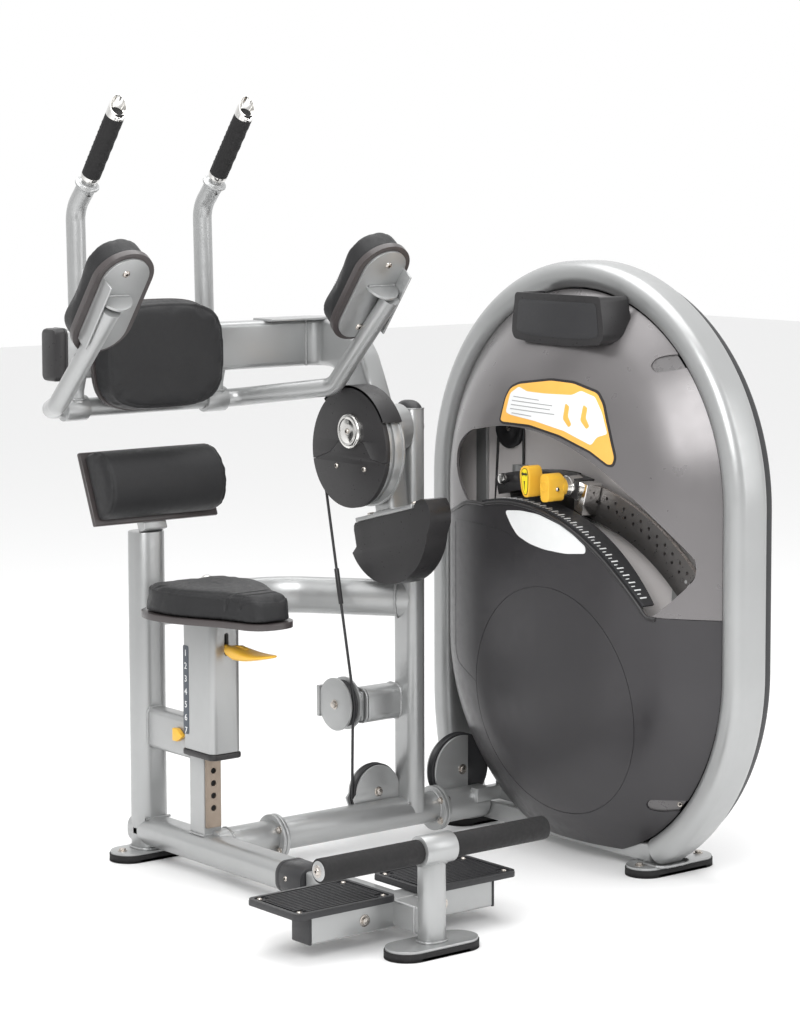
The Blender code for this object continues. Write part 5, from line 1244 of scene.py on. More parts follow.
def make_arm_pads():
    half = [(0.0, 0.0, PAD_TUBE_Z), (0.222, 0.0, PAD_TUBE_Z), (0.330, -0.205, 0.975), (0.330, -0.399, 1.166)]
    right = bent_path(half, [0.050, 0.045], 20)
    left = [Vector((-p.x, p.y, p.z)) for p in reversed(right[1:])]
    tube = pipe("tube", left + right, 0.019, 14)
    turn = arm_pad_turn()
    keep_off = [block("keep_off", (0.2, 0.08, 0.249), arm_pad_place(side, 0.0396, 0.0), turn=turn)
                for side in (-1, 1)]
    tube = look(cut(tube, *keep_off), SILVER)
    finish(tube, "arm_pads", ("pad_frame",))
    tube.name = "pad_tube"

    form = plate("arm_pad", [stadium(0.1170, 0.0590, 24, True)], 0.046, "Y", (0, 0.0174 + 0.0230, 0), 0.015,
                 segments=5)
    form = puff(form, lambda p: p.y < 0.0215, 0.0055)
    path = [Vector((a, 0.1, b)) for a, b in stadium(0.1060, 0.0480, 24, True)]
    form = seam(form, path, (0, -1, 0), True, -1, depth=0.0018, wide=0.0028)
    for side, name in SIDES:
        pad = new_object("arm_pad_" + name, form.data.copy())
        pad.data.transform(Matrix.Translation(arm_pad_place(side, 0.0, 0.0)) @ turn.to_4x4())
        finish(pad, "arm_pads", ("arm_cushion_" + name,))

        board = plate("board", [stadium(0.1220, 0.0640, 24, True)], 0.0125, "Y",
                      arm_pad_place(side, 0.0117, 0.0), 0.0050, turn, 6)
        finish(look(board, BOARD), "arm_pads").name = "arm_board_" + name

        face = plate("face", [stadium(0.112, 0.050, 24, True)], 0.005, "Y", arm_pad_place(side, 0.0025, 0.0),
                     0.0014, turn)
        lip = block("lip", (0.0045, 0.034, 0.150), arm_pad_place(side, -0.013, -0.006, 0.0475), 0.0020, turn)
        half_disc = [(0.0470, 0.0)] + [(0.011 + 0.036 * math.cos(t), -0.041 * math.sin(t)) for t in
                                       [math.pi * k / 24 for k in range(1, 24)]] + [(-0.0250, 0.0)]
        outline = [(side * a, b) for a, b in half_disc]
        shelf = plate("shelf", [outline], 0.0055, "Z", arm_pad_place(side, 0.0010, 0.0220), 0.0016, turn)
        parts = [look(p, SILVER) for p in (face, lip, shelf)]
        for along, radius in ((0.0258, 0.0020), (0.0182, 0.0022)):
            run = [arm_pad_place(side, -0.0008, along, 0.044 - 0.066 * k / 20) for k in range(21)]
            parts.append(bead(run, radius))
        run = [arm_pad_place(side, -0.0012, -0.078 + 0.090 * k / 20, 0.0445) for k in range(21)]
        parts.append(bead(run, 0.0020))
        for along in (-0.084, 0.078):
            parts += round_screw(arm_pad_place(side, 0.0004, along, 0.004), turn @ Vector((0, -1, 0)), 0.0078)
        finish(join("arm_pad_plate_" + name, *parts), "arm_pads", ("arm_plate_" + name,))
    bpy.data.objects.remove(form, do_unlink=True)


# ---------------------------------------------------------------- pulleys and cable
def wheel(name, centre, direction, radius, wide, bore, body):
    half = wide / 2
    deep = radius - 0.006
    profile = [(bore, half), (bore + 0.006, half), (bore + 0.0075, half - 0.0012),
               (radius - 0.013, half - 0.0012), (radius - 0.011, half), (radius - 0.002, half),
               (radius - 0.0005, half - 0.0006), (radius, half - 0.002), (deep, 0.0022), (deep - 0.0010, 0.0),
               (deep, -0.0022), (radius, 0.002 - half), (radius - 0.0005, 0.0006 - half),
               (radius - 0.002, -half), (radius - 0.011, -half), (radius - 0.013, 0.0012 - half),
               (bore + 0.0075, 0.0012 - half), (bore + 0.006, -half), (bore, -half), (bore, half)]
    made = turned(name + "_wheel", profile, centre, direction, 96)
    return finish(made, body, (name,), DARK)


def wheel_arc(centre, radius, plane, first, last, count=24):
    points = []
    for a, b in arc((0.0, 0.0), radius, first, last, count):
        points.append(Vector(centre) + (Vector((0, a, b)) if plane == "YZ" else Vector((a, 0, b))))
    return points


MID_PULLEY = Vector((0.372, -0.168, 0.300))
LOW_PULLEY = Vector((0.4275, CABLE_Y, 0.1135))
BIG_PULLEY = Vector((0.6560, CABLE_Y, 0.1300))
TOP_PULLEY = Vector((0.7050, -0.3300, 0.8750))


def make_pulleys():
    wheel("mid_pulley", MID_PULLEY, (1, 0, 0), 0.0500, 0.018, 0.0063, "mid_pulley")
    wheel("base_pulley", LOW_PULLEY, (0, 1, 0), 0.0590, 0.018, 0.0063, "base_pulley")
    wheel("tower_pulley", BIG_PULLEY, (0, 1, 0), 0.0780, 0.018, 0.0083, "tower_pulley")
    wheel("guide_pulley", TOP_PULLEY, (1, 0, 0), 0.0430, 0.016, 0.0063, "guide_pulley")

    parts = []
    for side in (-1, 1):
        x = MID_PULLEY.x + side * 0.0130
        parts.append(rod("cheek", 0.0560, (x - 0.0025, *MID_PULLEY.yz), (x + 0.0025, *MID_PULLEY.yz), 80,
                         edge=0.0009))
    parts.append(block("bridge", (0.033, 0.010, 0.066), MID_PULLEY + Vector((-0.0005, 0.0570, 0)), 0.001))
    parts.append(block("reach", (0.0055, 0.050, 0.060), MID_PULLEY + Vector((0.0173, -0.030, 0)), 0.001))
    parts = [look(p, SILVER) for p in parts]
    parts += hex_bolt((MID_PULLEY.x - 0.0155, *MID_PULLEY.yz), (-1, 0, 0), 0.0080, 0.0066, 0.0105)
    parts.append(bead([(MID_PULLEY.x + 0.0205, -0.207 + a, 0.300 + b) for a, b in
                       rounded_rect(0.0270, 0.0360, 0.020, 5)], 0.0022, True))
    finish(join("mid_pulley_fork", *parts), "frame", ("mid_pulley_bracket",))

    parts = []
    saddle_tool = rod("saddle", CROSS_R + 0.0004, (0.2, CROSS_Y, CROSS_Z), (0.6, CROSS_Y, CROSS_Z), 64,
                      edge=0.0)
    post = tube_block("post", (0.0448, 0.0698, 0.5), (PIVOT_POST_X, CROSS_Y, 0.2), "Z", 0.018)
    for side in (-1, 1):
        outline = arc((LOW_PULLEY.x, LOW_PULLEY.z), 0.0560, 0, 180, 40)
        outline += [(LOW_PULLEY.x - 0.064, 0.1040), (LOW_PULLEY.x - 0.055, 0.0800),
                    (LOW_PULLEY.x + 0.056, 0.0800)]
        parts.append(plate("cheek", [outline], 0.005, "Y", (0, CABLE_Y + side * 0.0130, 0), 0.0009))
    fork = look(cut(join("fork", *parts), saddle_tool, post), SILVER)
    bolts = hex_bolt(LOW_PULLEY - Vector((0, 0.0155, 0)), (0, -1, 0), 0.0080, 0.0066, 0.0105)
    bolts += hex_bolt(LOW_PULLEY + Vector((0, 0.0155, 0)), (0, 1, 0), 0.0080, 0.0066, 0.0105)
    root = bead([(LOW_PULLEY.x - 0.052 + 0.110 * k / 40, CABLE_Y - 0.0165, 0.0862) for k in range(41)],
                0.0022)
    finish(join("base_pulley_fork", fork, root, *bolts), "frame", ("base_pulley_bracket",))


def make_cable():
    ride = 0.0039
    path = []
    for step in range(25):
        angle = math.radians(62 - step * 76 / 24)
        reach = (DRUM_R - 0.0075) * drum_lobe(angle) + ride + 0.0006
        path.append(Vector((MID_PULLEY.x, DRUM.y + reach * math.cos(angle),
                            DRUM.z + reach * math.sin(angle))))
    path.append(Vector((MID_PULLEY.x, -0.1165, 0.7700)))
    path += wheel_arc(MID_PULLEY, 0.0440 + ride, "YZ", 168, 200, 10)
    path.append(Vector((MID_PULLEY.x, CABLE_Y, 0.250)))
    low = 0.0530 + ride
    path.append(Vector((LOW_PULLEY.x - low, CABLE_Y, 0.160)))
    path += wheel_arc(LOW_PULLEY, low, "XZ", 180, 270)
    path += wheel_arc(BIG_PULLEY, 0.0720 + ride, "XZ", 270, 359, 30)
    path.append(Vector((TOP_PULLEY.x, TOP_PULLEY.y + 0.0370 + ride, TOP_PULLEY.z - 0.002)))
    path += wheel_arc(TOP_PULLEY, 0.0370 + ride, "YZ", 8, 180)
    path.append(Vector((TOP_PULLEY.x, TOP_PULLEY.y - 0.0370 - ride, 0.8010)))
    cable = look(pipe("cable_run", path, 0.0030, 5), DARK)
    top = Vector((MID_PULLEY.x, -0.1165, 0.7700))
    below = path[path.index(top) + 1]
    sleeve = look(rod("sleeve", 0.0052, top.lerp(below, 0.40), top.lerp(below, 0.56), 32), BLACK)
    finish(join("cable_run", cable, sleeve), "frame", ("cable",))


# ---------------------------------------------------------------- weight tower
def hoop_path():
    path = arc((RING_Y, RING_LOW_Z), RING_MIDDLE, 239, 180, 24)
    path += arc((RING_Y, RING_TOP_Z), RING_MIDDLE, 180, 0, 90)
    bend = 0.683
    path += arc((RING_Y + RING_MIDDLE - bend, 0.300), bend, 0, -24, 14)
    return path


def make_hoop():
    path = hoop_path()
    sections = []
    for i, (y, z) in enumerate(path):
        before = path[max(i - 1, 0)]
        after = path[min(i + 1, len(path) - 1)]
        ahead = Vector((0, after[0] - before[0], after[1] - before[1])).normalized()
        out = ahead.cross(Vector((1, 0, 0)))
        ring = rounded_rect(0.045, 0.0285, 0.024, 8)
        sections.append([Vector((RING_X, y, z)) + Vector((1, 0, 0)) * a + out * b for a, b in ring])
    hoop = cut(loft("hoop", sections), block("under", (1.0, 1.6, 0.20), (RING_X, -0.5, FOOT_TOP - 0.10)))
    parts = [look(hoop, SILVER)]
    parts += [look(foot_plate((TOWER_FOOT_X, y), 0.105, 0.040), SILVER) for y in TOWER_FEET_Y]
    parts.append(look(tube_block("beam", (0.055, 0.600, 0.0395), (0.7305, -0.470, 0.0400), "Y", 0.005),
                      SILVER))
    bar = block("bar", (0.022, 0.150, 0.040), (RING_X + 0.004, WEIGHT_PIVOT[0] - 0.060, WEIGHT_PIVOT[1]),
                0.003)
    pin = rod("pin", 0.0120, (0.665, *WEIGHT_PIVOT), (RING_X, *WEIGHT_PIVOT), 32)
    parts += [look(bar, SILVER), look(pin, STEEL)]
    for y in TOWER_FEET_Y:
        for x in (TOWER_FOOT_X - 0.082, TOWER_FOOT_X + 0.082):
            parts += hex_bolt((x, y, FOOT_TOP + FOOT_PLATE), (0, 0, 1), 0.0070, 0.0055, 0.0100)
    for y, half in ((-0.7900, 0.0330), (-0.1700, 0.0310)):
        parts.append(bead(foot_ring((RING_X + 0.001, y), 0.0455, half, 0.024, FOOT_TOP + 0.010), 0.0030,
                          True))
    finish(join("hoop_tube", *parts), "frame", ("hoop_frame",))


def make_tower_frame():
    face = RIGHT_FLANGE_X + 0.0005
    stub = rod("stub", 0.0350, (face + 0.004, CROSS_Y, 0.0585), (0.6995, CROSS_Y, 0.0585), 64)
    room = block("room", (0.128, 0.0215, 0.20), (0.6405, CABLE_Y, 0.1480))
    mouth = block("mouth", (0.03, 0.012, 0.014), (0.5860, CABLE_Y, 0.0580))
    parts = [cut(stub, room, mouth)]
    parts.append(block("foot", (0.085, 0.022, 0.030), (0.7000, -0.2630, 0.0790), 0.002))
    parts.append(block("upright", (0.018, 0.070, 0.838), (0.7330, -0.2900, 0.4810), 0.003))
    parts.append(block("head", (0.018, 0.090, 0.110), (0.7330, -0.3050, 0.8500), 0.003))
    for side in (-1, 1):
        outline = arc((BIG_PULLEY.x, BIG_PULLEY.z), 0.0735, 78, 232, 60)
        outline += [(BIG_PULLEY.x - 0.045, 0.072), (BIG_PULLEY.x + 0.015, 0.072)]
        parts.append(plate("cheek", [outline], 0.0055, "Y", (0, CABLE_Y + side * 0.0135, 0), 0.0009))
    parts = [look(p, SILVER) for p in parts]
    axle = rod("axle", 0.0060, (0.6950, *TOP_PULLEY.yz), (0.7300, *TOP_PULLEY.yz), 32)
    shaft = rod("shaft", 0.0080, (BIG_PULLEY.x, CABLE_Y - 0.0160, BIG_PULLEY.z),
                (BIG_PULLEY.x, CABLE_Y + 0.0160, BIG_PULLEY.z), 32)
    parts += [look(axle, STEEL), look(shaft, STEEL)]
    parts += flange(face + 0.004, 1, True)
    parts += hex_bolt(BIG_PULLEY - Vector((0, 0.0160, 0)), (0, -1, 0), 0.0085, 0.0060, 0.0110)
    parts.append(bead(ring_path((face + 0.008, CROSS_Y, 0.0600), 0.0355, (1, 0, 0), 40), 0.0024, True))
    finish(join("tower_pulley_frame", *parts), "frame", ("tower_frame",))


def oblong(x, half):
    """Upright outline with round ends, the same shape as the hoop, as points at one x."""
    points = [(RING_Y + a, RING_TOP_Z + b) for a, b in arc((0, 0), half, 0, 180, 64)]
    points += [(RING_Y + a, RING_LOW_Z + b) for a, b in arc((0, 0), half, 180, 360, 64)]
    return [(x, y, z) for y, z in points]


DOME_FINE = smooth_line(DOME, 5)


def dome_x(y, z, lift=0.0):
    """Where the front cover's surface is, at a place seen from the side."""
    level = min(max(z, RING_LOW_Z), RING_TOP_Z)
    reach = math.hypot(y - RING_Y, z - level)
    for (x0, r0), (x1, r1) in zip(DOME_FINE, DOME_FINE[1:]):
        if reach <= r1:
            return x0 + (x1 - x0) * (reach - r0) / max(r1 - r0, 1e-9) - lift
    return DOME_FINE[-1][0] - lift


def dome(name, inward, beyond):
    """Solid under the front cover's surface moved inward, carried on a little past its rim."""
    rings = [oblong(x + inward, max(half - inward * 0.9, 0.0004)) for x, half in DOME_FINE]
    if beyond:
        x, half = DOME_FINE[-1]
        rings.append(oblong(x + inward + beyond, half - inward * 0.9 + 0.3 * beyond))
    return loft(name, rings)


def window_outline():
    """The curved opening in the front cover through which the weight arm's rail is seen."""
    points = arc(WINDOW_LOW[0], WINDOW_LOW[1], 75.4, 143.4, 60)
    points += smooth_line([(-0.850, 0.556), (-0.858, 0.547), (-0.872, 0.551), (-0.899, 0.577),
                           (-0.932, 0.616), (-0.940, 0.640), (-0.938, 0.664)], 5)[3:-3]
    points += arc(WINDOW_TOP[0], WINDOW_TOP[1], 143.9, 85.2, 60)
    points += smooth_line([(-0.4326, 0.895), (-0.363, 0.884), (-0.321, 0.875), (-0.275, 0.845),
                           (-0.265, 0.806), (-0.284, 0.767), (-0.327, 0.728), (-0.371, 0.7254)], 6)[3:-3]
    return points


def spread_over(values, cell):
    """Evenly spaced steps from just below the least value to just above the greatest."""
    margin = 0.002
    span = max(values) - min(values)
    count = max(2, int(span / cell))
    return [min(values) - margin + (span + 2 * margin) * i / count for i in range(count + 1)]


def on_dome(name, outline, thick, lift, item):
    """Thin sheet cut to an outline, laid on the front cover."""
    flat = plate(name, [outline], 0.2, "X", (0.60, 0, 0))
    ys, zs = (spread_over(values, 0.006) for values in zip(*outline))
    columns, rows = len(ys) - 1, len(zs) - 1
    shape = bmesh.new()
    layers = []
    for level in (lift, lift + thick):
        grid = [[shape.verts.new((dome_x(y, z, level), y, z)) for z in zs] for y in ys]
        layers.append(grid)
        for i in range(columns):
            for j in range(rows):
                shape.faces.new((grid[i][j], grid[i + 1][j], grid[i + 1][j + 1], grid[i][j + 1]))
    near, far = layers
    border = [(i, 0) for i in range(columns)] + [(columns, j) for j in range(rows)]
    border += [(i, rows) for i in range(columns, 0, -1)] + [(0, j) for j in range(rows, 0, -1)]
    for (i, j), (k, m) in zip(border, border[1:] + border[:1]):
        shape.faces.new((near[i][j], near[k][m], far[k][m], far[i][j]))
    return look(combine(from_bmesh(name, shape), flat, "INTERSECT"), item)


def shrink(outline, amount):
    """Outline moved inward by an amount, corner by corner."""
    count = len(outline)
    area = sum(outline[i - 1][0] * outline[i][1] - outline[i][0] * outline[i - 1][1] for i in range(count))
    sign = 1 if area > 0 else -1
    made = []
    for i in range(count):
        a = Vector(outline[i - 1])
        b = Vector(outline[i])
        c = Vector(outline[(i + 1) % count])
        first = (b - a).normalized()
        second = (c - b).normalized()
        inward = Vector((-(first.y + second.y), first.x + second.x))
        if inward.length < 1e-6:
            made.append(tuple(b))
            continue
        inward.normalize()
        made.append(tuple(b + inward * sign * amount / max(0.35, inward.dot(Vector((-first.y, first.x))))))
    return made


def round_corners(outline, radius):
    """Outline with its corners turned into arcs."""
    count = len(outline)
    made = []
    for i in range(count):
        a = Vector(outline[i - 1])
        b = Vector(outline[i])
        c = Vector(outline[(i + 1) % count])
        back = a - b
        ahead = c - b
        take = min(radius, back.length * 0.45, ahead.length * 0.45)
        start = b + back.normalized() * take
        end = b + ahead.normalized() * take
        for k in range(7):
            t = k / 6
            made.append(tuple(start * (1 - t) ** 2 + b * 2 * t * (1 - t) + end * t * t))
    return made


def prism(name, outline):
    """Cutting form that goes right through the front cover."""
    return plate(name, [outline], 0.30, "X", (0.640, 0, 0))


def make_shells():
    front = dome("front", 0.0, 0.0)
    tools = [dome("inner", 0.0050, 0.010), prism("window", window_outline()),
             block("low", (0.5, 1.5, 0.10), (0.640, RING_Y, -0.0150)),
             block("notch", (0.16, 0.080, 0.50), (0.680, -0.2150, -0.0140))]
    slots = ([(-0.809, 1.038), (-0.814, 1.053), (-0.833, 1.059), (-0.883, 1.064), (-0.899, 1.044),
              (-0.864, 1.032), (-0.824, 1.024)],
             [(-0.806, 0.155), (-0.816, 0.166), (-0.872, 0.169), (-0.893, 0.170), (-0.878, 0.149),
              (-0.825, 0.139), (-0.806, 0.143)])
    tools += [prism("slot", round_corners(outline, 0.010)) for outline in slots]
    groove = plate("groove", [circle((0, 0), 0.2366, 120), circle((0, 0), 0.2352, 120)], 0.03, "X",
                   (0, -0.590, 0.341))
    for vertex in groove.data.vertices:
        outer = vertex.co.x < 0
        vertex.co.x = dome_x(vertex.co.y, vertex.co.z) + (-0.004 if outer else 0.0012)
    front = cut(front, *tools, groove)
    lower = front.copy()
    lower.data = front.data.copy()
    scene.collection.objects.link(lower)
    region = [(-0.040, 0.660), (-0.216, 0.694), (-0.284, 0.714), (-0.335, 0.728), (-0.420, 0.780),
              (-0.600, 0.790), (-0.780, 0.690), (-0.852, 0.548), (-0.889, 0.546), (-1.100, 0.543),
              (-1.100, -0.2), (-0.040, -0.2)]
    upper = cut(front, prism("region", region))
    above = [(y, z - 0.0014) for y, z in region[:10]] + [(-1.100, 1.400), (-0.040, 1.400)]
    lower = cut(lower, prism("above", above))
    parts = [look(upper, SHELL), look(lower, LOWER)]
    for outline in slots:
        grown = round_corners(shrink(outline, -0.004), 0.010)
        parts.append(on_dome("slot_floor", grown, 0.0016, -0.0060, SLOT))
    for y, z in ((-0.872, 1.049), (-0.866, 0.160)):
        parts += round_screw(Vector((dome_x(y, z, -0.0045), y, z)), (-0.6, -0.75, 0.1), 0.0062)
    strips = [[(-0.2600, 0.677), (-0.2622, 0.677), (-0.2622, 0.405), (-0.2600, 0.405)]]
    for k in range(7):
        level = 0.664 - 0.042 * k
        strips.append([(-0.2610, level), (-0.2520, level), (-0.2520, level + 0.0018),
                       (-0.2610, level + 0.0018)])
    # Thin dark line along a crease in the cover: painted shade of the crease, which is not shaped in the
    # surface.
    crease = smooth_line([(-0.264, 0.684), (-0.331, 0.686), (-0.441, 0.681), (-0.500, 0.666)], 8)
    strips.append(crease + [(y, z - 0.0014) for y, z in reversed(crease)])
    foot = smooth_line([(-0.261, 0.405), (-0.275, 0.380), (-0.320, 0.362), (-0.352, 0.350)], 8)
    strips.append(foot + [(y, z - 0.0016) for y, z in reversed(foot)])
    for outline in strips:
        parts.append(on_dome("dark_lines_and_crease_shade", outline, 0.0007, -0.0003, DARK))
    finish(join("front_cover", *parts), "frame", ("front_shell",), smooth=28.0)

    outer = loft("outer", [oblong(0.7756, 0.462), oblong(0.7900, 0.462), oblong(0.7960, 0.4595),
                           oblong(0.8020, 0.4520), oblong(0.8060, 0.440), oblong(0.8120, 0.4150),
                           oblong(0.8150, 0.395)])
    inner = loft("inner", [oblong(0.7700, 0.458), oblong(0.7885, 0.458), oblong(0.8025, 0.436),
                           oblong(0.8110, 0.391)])
    low = block("low", (0.5, 1.5, 0.10), (0.79, RING_Y, -0.0150))
    parts = [look(cut(outer, inner, low), DARK)]
    for z in (0.300, 0.600, 0.900):
        for y in (-0.860, -0.254):
            parts += round_screw((0.8148, y, z), (1, 0, 0), 0.0060)
    # The vents are thin dark sheets on the cover: painted shade standing in for the openings.
    for k in range(9):
        vent = plate("vent", [rounded_rect(0.070, 0.0035, 0.0034)], 0.0010, "X",
                     (0.8152, RING_Y, 0.520 + 0.022 * k))
        parts.append(look(vent, HOLE_SHADE))
    finish(join("rear_cover", *parts), "frame", ("rear_shell",), smooth=28.0)
    # The liner's colour is its own pale taupe plus painted light.
    liner = plate("tower_liner", [[(y, z) for _, y, z in oblong(0, 0.405)]], 0.0020, "X", (0.7100, 0, 0))
    low = block("low", (0.5, 1.5, 0.16), (0.70, RING_Y, 0.0250))
    room = block("room", (0.2, 0.05, 0.36), (0.7100, -0.245, 0.08))
    post = look(block("post", (0.008, 0.034, 0.560), (0.7040, -0.2370, 0.6600), 0.001), SILVER)
    finish(join("tower_liner", look(cut(liner, low, room), LINER_WITH_PAINTED_LIGHT), post), "frame")


def make_scale_band():
    centre, radius = WINDOW_LOW
    sections = []
    for k in range(101):
        angle = math.radians(76.0 + 66.5 * k / 100)
        ring = []
        for reach, end in ((0.0012, 0), (0.0072, 0), (0.0072, 1), (0.0012, 1)):
            y = centre[0] + (radius + reach) * math.cos(angle)
            z = centre[1] + (radius + reach) * math.sin(angle)
            ring.append((0.638 if end else dome_x(y, z) + 0.003, y, z))
        sections.append(ring)
    parts = [look(loft("band", sections), DARK)]
    for k in range(50):
        angle = math.radians(82.0 + 1.19 * k)
        y = centre[0] + (radius + 0.0074) * math.cos(angle)
        z = centre[1] + (radius + 0.0074) * math.sin(angle)
        deep = 0.017 if k % 2 else 0.009
        turn = Matrix.Rotation(angle - math.pi / 2, 3, "X")
        tick = block("tick", (deep, 0.0028 if k % 2 else 0.0018, 0.0006),
                     (dome_x(y, z) + 0.006 + deep / 2, y, z), turn=turn)
        parts.append(look(tick, WHITE))
    path = [(-0.222, 0.6925), (-0.284, 0.7125), (-0.325, 0.7265)]
    path += arc(centre, radius - 0.0012, 77.0, 143.0, 60) + [(-0.856, 0.5455), (-0.874, 0.5420)]
    lip = [(dome_x(y, z, 0.0006), y, z) for y, z in path]
    parts.append(look(pipe("lip", smooth_line(lip, 2), 0.0042, 6), BLACK))
    finish(join("scale_strip", *parts), "frame", ("scale_band",))


def make_tray():
    """Open box across the top of the cover: a smooth front panel that flares at its foot, and a pocket."""
    outline = [(-0.457, 1.172), (-0.455, 1.150), (-0.450, 1.125), (-0.447, 1.090), (-0.456, 1.076),
               (-0.520, 1.0705), (-0.590, 1.0685), (-0.660, 1.0705), (-0.716, 1.076), (-0.730, 1.090),
               (-0.726, 1.125), (-0.721, 1.150), (-0.719, 1.172)]
    tray = plate("tray", [round_corners(outline, 0.012)], 0.076, "X", (0.6460, 0, 0), 0.006, segments=5)
    hollow = block("hollow", (0.090, 0.248, 0.110), (0.6620, -0.588, 1.1560), 0.012)
    away = dome("away", -0.0006, 0.060)
    parts = [look(cut(tray, hollow, away), BLACK)]
    panel = round_corners([(-0.470, 1.158), (-0.462, 1.092), (-0.500, 1.086), (-0.588, 1.084),
                           (-0.676, 1.086), (-0.715, 1.092), (-0.707, 1.158)], 0.012)
    parts.append(look(plate("panel", [panel], 0.0010, "X", (0.6077, 0, 0), 0.0004), DARK))
    finish(join("tray_box", *parts), "frame", ("tray",))

    corners = [(-0.433, 0.905), (-0.447, 0.958), (-0.461, 0.979), (-0.490, 0.990), (-0.589, 1.003),
               (-0.654, 1.001), (-0.722, 0.985), (-0.742, 0.962), (-0.764, 0.910), (-0.785, 0.856),
               (-0.779, 0.838), (-0.764, 0.837), (-0.715, 0.861), (-0.627, 0.886), (-0.534, 0.900),
               (-0.446, 0.900)]
    outline = round_corners(corners, 0.010)
    black = on_dome("placard_edge", outline, 0.0014, -0.0002, BLACK)
    amber = on_dome("placard_border", round_corners(shrink(corners, 0.0050), 0.009), 0.0010, 0.0009, AMBER)
    inner = round_corners([(-0.456, 0.925), (-0.466, 0.965), (-0.492, 0.980), (-0.519, 0.972),
                           (-0.573, 0.971), (-0.655, 0.973), (-0.678, 0.983), (-0.716, 0.973),
                           (-0.739, 0.944), (-0.759, 0.902), (-0.733, 0.894), (-0.719, 0.877),
                           (-0.641, 0.900), (-0.549, 0.914), (-0.470, 0.921)], 0.006)
    white = on_dome("placard_field", inner, 0.0010, 0.0014, WHITE)
    marks = []
    for k, (first, last) in enumerate(((0.478, 0.560), (0.474, 0.602), (0.472, 0.596), (0.470, 0.610),
                                       (0.476, 0.540))):
        level = 0.960 - 0.0085 * k
        row = [(-first, level), (-last, level - 0.0025), (-last, level - 0.0043), (-first, level - 0.0018)]
        marks.append(on_dome("row", row, 0.0006, 0.0021, ASH))
    for y in (-0.640, -0.690):
        figure = [(y, 0.956), (y - 0.012, 0.950), (y - 0.010, 0.930), (y - 0.022, 0.914), (y - 0.014, 0.908),
                  (y + 0.004, 0.924)]
        marks.append(on_dome("figure", round_corners(figure, 0.004), 0.0006, 0.0021, AMBER))
    finish(join("placard", black, amber, white, *marks), "frame")

    label = round_corners([(-0.458, 0.722), (-0.510, 0.7265), (-0.565, 0.7245), (-0.632, 0.709),
                           (-0.672, 0.692), (-0.706, 0.672), (-0.706, 0.658), (-0.650, 0.652),
                           (-0.585, 0.654), (-0.540, 0.661), (-0.500, 0.674), (-0.478, 0.695)], 0.012)
    finish(on_dome("blank_label", label, 0.0012, -0.0002, WHITE), "frame")


# ---------------------------------------------------------------- weight arm and slider
def polar(radius, degrees):
    """Place beside the weight arm's rail, from the centre of its curve."""
    angle = math.radians(degrees)
    return (RAIL_CENTRE[0] + radius * math.cos(angle), RAIL_CENTRE[1] + radius * math.sin(angle))


def make_weight_arm():
    holes = []
    for k in range(17):
        for radius, shift in ((0.5715, 0.0), (0.5560, 0.9)):
            holes.append(circle(polar(radius, 88.0 + 2.72 * k + shift), 0.0037, 16))
    outline = sector(RAIL_CENTRE, 0.588, 0.516, 73, 133.4, 120)
    edge = sector(RAIL_CENTRE, 0.5884, 0.5868, 73, 133.4, 120)
    parts = [look(plate("rail", [outline] + holes, 0.008, "X", (RAIL_X, 0, 0)), RAIL),
             look(plate("rim", [edge], 0.0076, "X", (RAIL_X, 0, 0)), STEEL)]
    parts.append(look(rod("hub", 0.030, (0.6680, *WEIGHT_PIVOT), (0.7000, *WEIGHT_PIVOT), 48), STEEL))
    bars = [((-0.860, 0.350), (-0.880, 0.620), 0.050), ((-0.830, 0.335), (-0.4900, 0.7250), 0.050),
            ((-0.830, 0.340), (-0.395, 0.475), 0.050), ((-0.415, 0.470), (-0.380, 0.720), 0.046)]
    for start, end, wide in bars:
        way = Vector((0, end[0] - start[0], end[1] - start[1]))
        tilt = Matrix.Rotation(math.atan2(way.z, way.y), 3, "X")
        centre = (RAIL_X, (start[0] + end[0]) / 2, (start[1] + end[1]) / 2)
        parts.append(look(block("bar", (0.0076, way.length, wide), centre, 0.0012, tilt), SILVER))
    parts.append(look(block("lug", (0.0215, 0.028, 0.046), (0.69625, -0.3712, 0.7780), 0.001), SILVER))
    finish(join("weight_arm_rail", *parts), "weight_arm", ("weight_arm",))
    profile = [(0.0, 0.0)]
    for k in range(4):
        low = 0.01415 * k
        profile += [(0.088, low + 0.0004), (0.0935, low + 0.0012), (0.095, low + 0.003),
                    (0.095, low + 0.0112), (0.0935, low + 0.0130), (0.088, low + 0.0138)]
    profile.append((0.0, 0.0566))
    stack = turned("weight_disc_stack", profile, (0.6250, -0.470, 0.500), (1, 0, 0), 72)
    finish(stack, "weight_arm", ("weight_plates",), BLACK)


